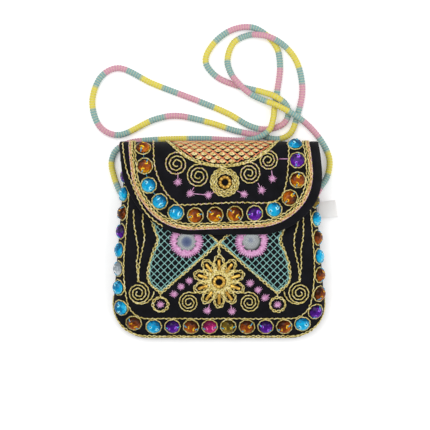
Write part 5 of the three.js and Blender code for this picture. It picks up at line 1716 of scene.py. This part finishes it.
def couch_stitches(surface, line):
    """Short stitches over a couched line: six in ten of an even row show."""
    points, normals, _, _ = laid_line(surface, line, COUCH_PITCH)
    across = unit(np.cross(directions(points, False), normals)) * COUCH_HALF
    shown = rng.random(len(points)) < COUCH_SHOWN
    points, normals, across = points[shown], normals[shown], across[shown]
    return stitches(points - across, points + across, normals, COUCH_RADIUS, COUCH_ARCH)


star_parts = pink_edge
for surface, spots in ((flap_point, FLAP_STARS), (front_point, front_stars)):
    points, normals = place(surface, spots[:, 0], spots[:, 1])
    for point, normal in zip(points, normals):
        tips = (STAR_REACH * rng.uniform(*STAR_SPREAD, STAR_ARMS), STAR_TIP_HEIGHT)
        turn = rng.uniform(0, PI / 4)
        arms = radial_stitches(point, normal, STAR_ARMS, STAR_MIDDLE, tips, turn)
        star_parts += stitches(*arms, STAR_RADIUS, STAR_ARCH)
for surface, tails in ((flap_point, FLAP_TAILS), (front_point, FRONT_TAILS)):
    for start, end in tails:
        star_parts += plain_thread(surface, np.linspace(start, end, 8), TAIL_RADIUS, TAIL_LIFT)
for line in (*flap_curls, flap_inner_line):
    star_parts += couch_stitches(flap_point, line[:len(line) * 2 // 3])
stars = make_piece("pink_stars", star_parts, pink_material)

# %% Ring beads and bugle beads
RING_BEADS = 9
RING_BEAD_RADIUS = 1.4
BUGLE_RADIUS = 1.3
BUGLE_LIFT = 0.3
BUGLE_SIDES = 10
BUGLE_RINGS = (0, 0.06, 0.5, 0.94, 1.0)
BUGLE_TAPER = (0.75, 1, 1, 1, 0.75)
BUGLE_GAPS = (2.0, 3.6)
GILT_PATCH = 3.0
bead_material, shader = new_material("gold glass bead")
# Gilded glass: a bright hard shine over warm amber yellow, darker in patches.
where = add_node(bead_material, "ShaderNodeTexCoord").outputs["Object"]
patches = {"Vector": where, "Scale": 1 / (GILT_PATCH * MM)}
gilt = add_node(bead_material, "ShaderNodeTexNoise", patches).outputs["Fac"]
ambers = (0.35, "#a8761d"), (0.65, "#f6cb5e")
add_node(bead_material, "ShaderNodeValToRGB", {"Fac": gilt}, shader.inputs["Base Color"], ambers)
shader.inputs["Metallic"].default_value = 0.5
shader.inputs["Roughness"].default_value = 0.16


def bugle(starts, ends, normals, radius):
    """A straight glass tube between two points, narrowed a little at both ends."""
    share = np.array(BUGLE_RINGS)[:, None]
    path = starts * (1 - share) + ends * share
    radii = radius * np.array(BUGLE_TAPER)
    return tube(path, np.broadcast_to(normals, path.shape), radii, BUGLE_SIDES)


bead_middle = (BEAD_OUTER + BEAD_HOLE) / 2
corner_angle = np.linspace(0, 2 * PI, RING_BEADS + 1)
corner_height = np.full(RING_BEADS + 1, BEAD_HEIGHT / 2)
bead_corners = [bead_middle * np.cos(corner_angle), bead_middle * np.sin(corner_angle), corner_height]
for name, node, surface, spot in (
    ("flap_ring_beads", "flap_bead", flap_point, ROSETTE),
    ("flower_ring_beads", "flower_bead", front_point, FLOWER),
):
    point, normal = [a[0] for a in place(surface, spot[:1], spot[1:])]
    corners = seated(np.stack(bead_corners, 1), point, normal, 0)
    parts = [bugle(a, b, normal, RING_BEAD_RADIUS) for a, b in zip(corners[:-1], corners[1:])]
    ring_bead = make_piece(name, parts, bead_material)
    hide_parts(node)

bugles = []
for k in range(PETALS):
    spoke = 2 * PI * k / PETALS + PI / 2
    reach = np.array([PETAL_ROOT + BUGLE_GAPS[0], PETAL_REACH - BUGLE_GAPS[1]])
    bead_x = FLOWER[0] + reach * np.cos(spoke)
    bead_y = FLOWER[1] + reach * np.sin(spoke)
    points, normals = place(front_point, bead_x, bead_y)
    points = points + normals * (BUGLE_RADIUS + BUGLE_LIFT)
    bugles.append(bugle(points[0], points[1], normals[0], BUGLE_RADIUS))
bugle_beads = make_piece("flower_bugle_beads", bugles, bead_material)

# %% [markdown]
# ## The tag and the press stud
# A folded white satin ribbon is caught in the right seam. Two flat planes would meet in a sharp
# crease, so one profile runs out, round the fold and back, and is carried across the width. The
# press stud under the flap can't be seen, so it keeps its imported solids.

# %% Fold the tag
TAG_ROWS = 20
TAG_STEPS = 24
TAG_FOLD_STEPS = 18
TAG_PLY = 0.5
TAG_CURL = 2.2
TAG_LEAN = 0.13
WEAVE_SIZE = 0.5
WEAVE_SQUEEZE = (1, 4, 1)
WEAVE_DEPTH = 0.03
tag_low, tag_high = box_mm("tag")
tag_material, shader = new_material("white satin ribbon")
# Smooth white satin with a faint cross weave.
shader.inputs["Base Color"].default_value = linear("#fbf9f7")
shader.inputs["Roughness"].default_value = 0.4
shader.inputs["Sheen Weight"].default_value = 0.2
where = add_node(tag_material, "ShaderNodeTexCoord").outputs["Object"]
squeezed = add_node(tag_material, "ShaderNodeMapping", {"Vector": where, "Scale": WEAVE_SQUEEZE})
ribs = {"Vector": squeezed.outputs["Vector"], "Scale": 1 / (WEAVE_SIZE * MM)}
weave = add_node(tag_material, "ShaderNodeTexNoise", ribs).outputs["Fac"]
relief = {"Height": weave, "Distance": WEAVE_DEPTH * MM}
add_node(tag_material, "ShaderNodeBump", relief, shader.inputs["Normal"])

tag_mid = (tag_low[2] + tag_high[2]) / 2
tag_bend = (tag_high[2] - tag_low[2]) / 2
bend = np.linspace(PI / 2, -PI / 2, TAG_FOLD_STEPS)
far = tag_high[0] - tag_bend


def ribbon_profile(radius):
    """The folded ribbon's line: out along the top, round the fold, and back underneath."""
    ahead = np.linspace(tag_low[0], far, TAG_STEPS)[:-1]
    home = np.linspace(far, tag_low[0], TAG_STEPS)[1:]
    out = np.stack([ahead, 0 * ahead + tag_mid + radius], 1)
    fold = np.stack([far + radius * np.cos(bend), tag_mid + radius * np.sin(bend)], 1)
    back = np.stack([home, 0 * home + tag_mid - radius], 1)
    return np.vstack([out, fold, back])


def ribbon_face(radius):
    """The profile carried across the width, lifted as a parabola and leaning towards its end."""
    line = ribbon_profile(radius)
    across = np.linspace(tag_low[1], tag_high[1], TAG_ROWS)
    x = np.repeat(line[None, :, 0], TAG_ROWS, 0)
    y = np.repeat(across[:, None], len(line), 1)
    share = (x - tag_low[0]) / (tag_high[0] - tag_low[0])
    z = np.repeat(line[None, :, 1], TAG_ROWS, 0) + TAG_CURL * share**2
    lean_x = TAG_LEAN * (tag_high[1] - y) * share
    lean_y = TAG_LEAN * (x - tag_low[0])
    return np.stack([x + lean_x, y + lean_y, z], -1)


ribbon = two_faces(ribbon_face(tag_bend), ribbon_face(tag_bend - TAG_PLY))
tag = make_piece("tag_ribbon", [ribbon], tag_material, weld=True)
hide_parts("tag")

# %% [markdown]
# ## Light and table
# A wide soft lamp from the upper left and a paler one opposite light the bag as a light tent
# would. A bare white sky alone would leave no shading on the stuffed cloth. The table is white to
# the camera and still takes the bag's soft shadow.

# %% White table
TABLE_SIZE = 3.0
TABLE_HEIGHT = -0.0004
TABLE_LIFT = 0.22
corners = np.array([(-1, -1, 0), (1, -1, 0), (1, 1, 0), (-1, 1, 0)]) * TABLE_SIZE / 2
corners[:, 2] = TABLE_HEIGHT
table_mesh = bpy.data.meshes.new("table")
table_mesh.from_pydata(corners.tolist(), [], [(0, 1, 2, 3)])
table = bpy.data.objects.new("table", table_mesh)
bpy.context.collection.objects.link(table)
table_material, shader = new_material("white table")
# White paper. What the camera and reflections see of it is lifted a little, to a plain white.
shader.inputs["Base Color"].default_value = linear("#ffffff")
shader.inputs["Roughness"].default_value = 0.9
shader.inputs["Emission Color"].default_value = linear("#ffffff")
rays = add_node(table_material, "ShaderNodeLightPath").outputs
seen = rays["Is Camera Ray"]
for other in (rays["Is Glossy Ray"], rays["Is Transmission Ray"]):
    seen = add_node(table_material, "ShaderNodeMath", {0: seen, 1: other}, operation="ADD").outputs[0]
glow = shader.inputs["Emission Strength"]
add_node(table_material, "ShaderNodeMath", {0: seen, 1: TABLE_LIFT}, glow, operation="MULTIPLY")
table_mesh.materials.append(table_material)
print("table", TABLE_SIZE, "m wide")

# %% Sky and lamps
SKY_STRENGTH = 0.5
LAMP_SIZE = 1.0
# each lamp's place in millimetres and its power
LAMPS = {"key lamp": ((-420, 420, 1250), 8.9), "fill lamp": ((800, -100, 950), 4.6)}
world = bpy.data.worlds.new("light tent")
bpy.context.scene.world = world
world.use_nodes = True
sky = world.node_tree.nodes["Background"].inputs
sky["Color"].default_value = (1, 1, 1, 1)
sky["Strength"].default_value = SKY_STRENGTH

for name, (place_mm, energy) in LAMPS.items():
    # a square lamp that looks at the bag's middle
    lamp_data = bpy.data.lights.new(name, "AREA")
    lamp_data.energy = energy
    lamp_data.size = LAMP_SIZE
    lamp = bpy.data.objects.new(name, lamp_data)
    lamp.location = [c * MM for c in place_mm]
    lamp.rotation_euler = (-lamp.location).to_track_quat("-Z", "Y").to_euler()
    bpy.context.collection.objects.link(lamp)
print("lamps:", ", ".join(LAMPS))
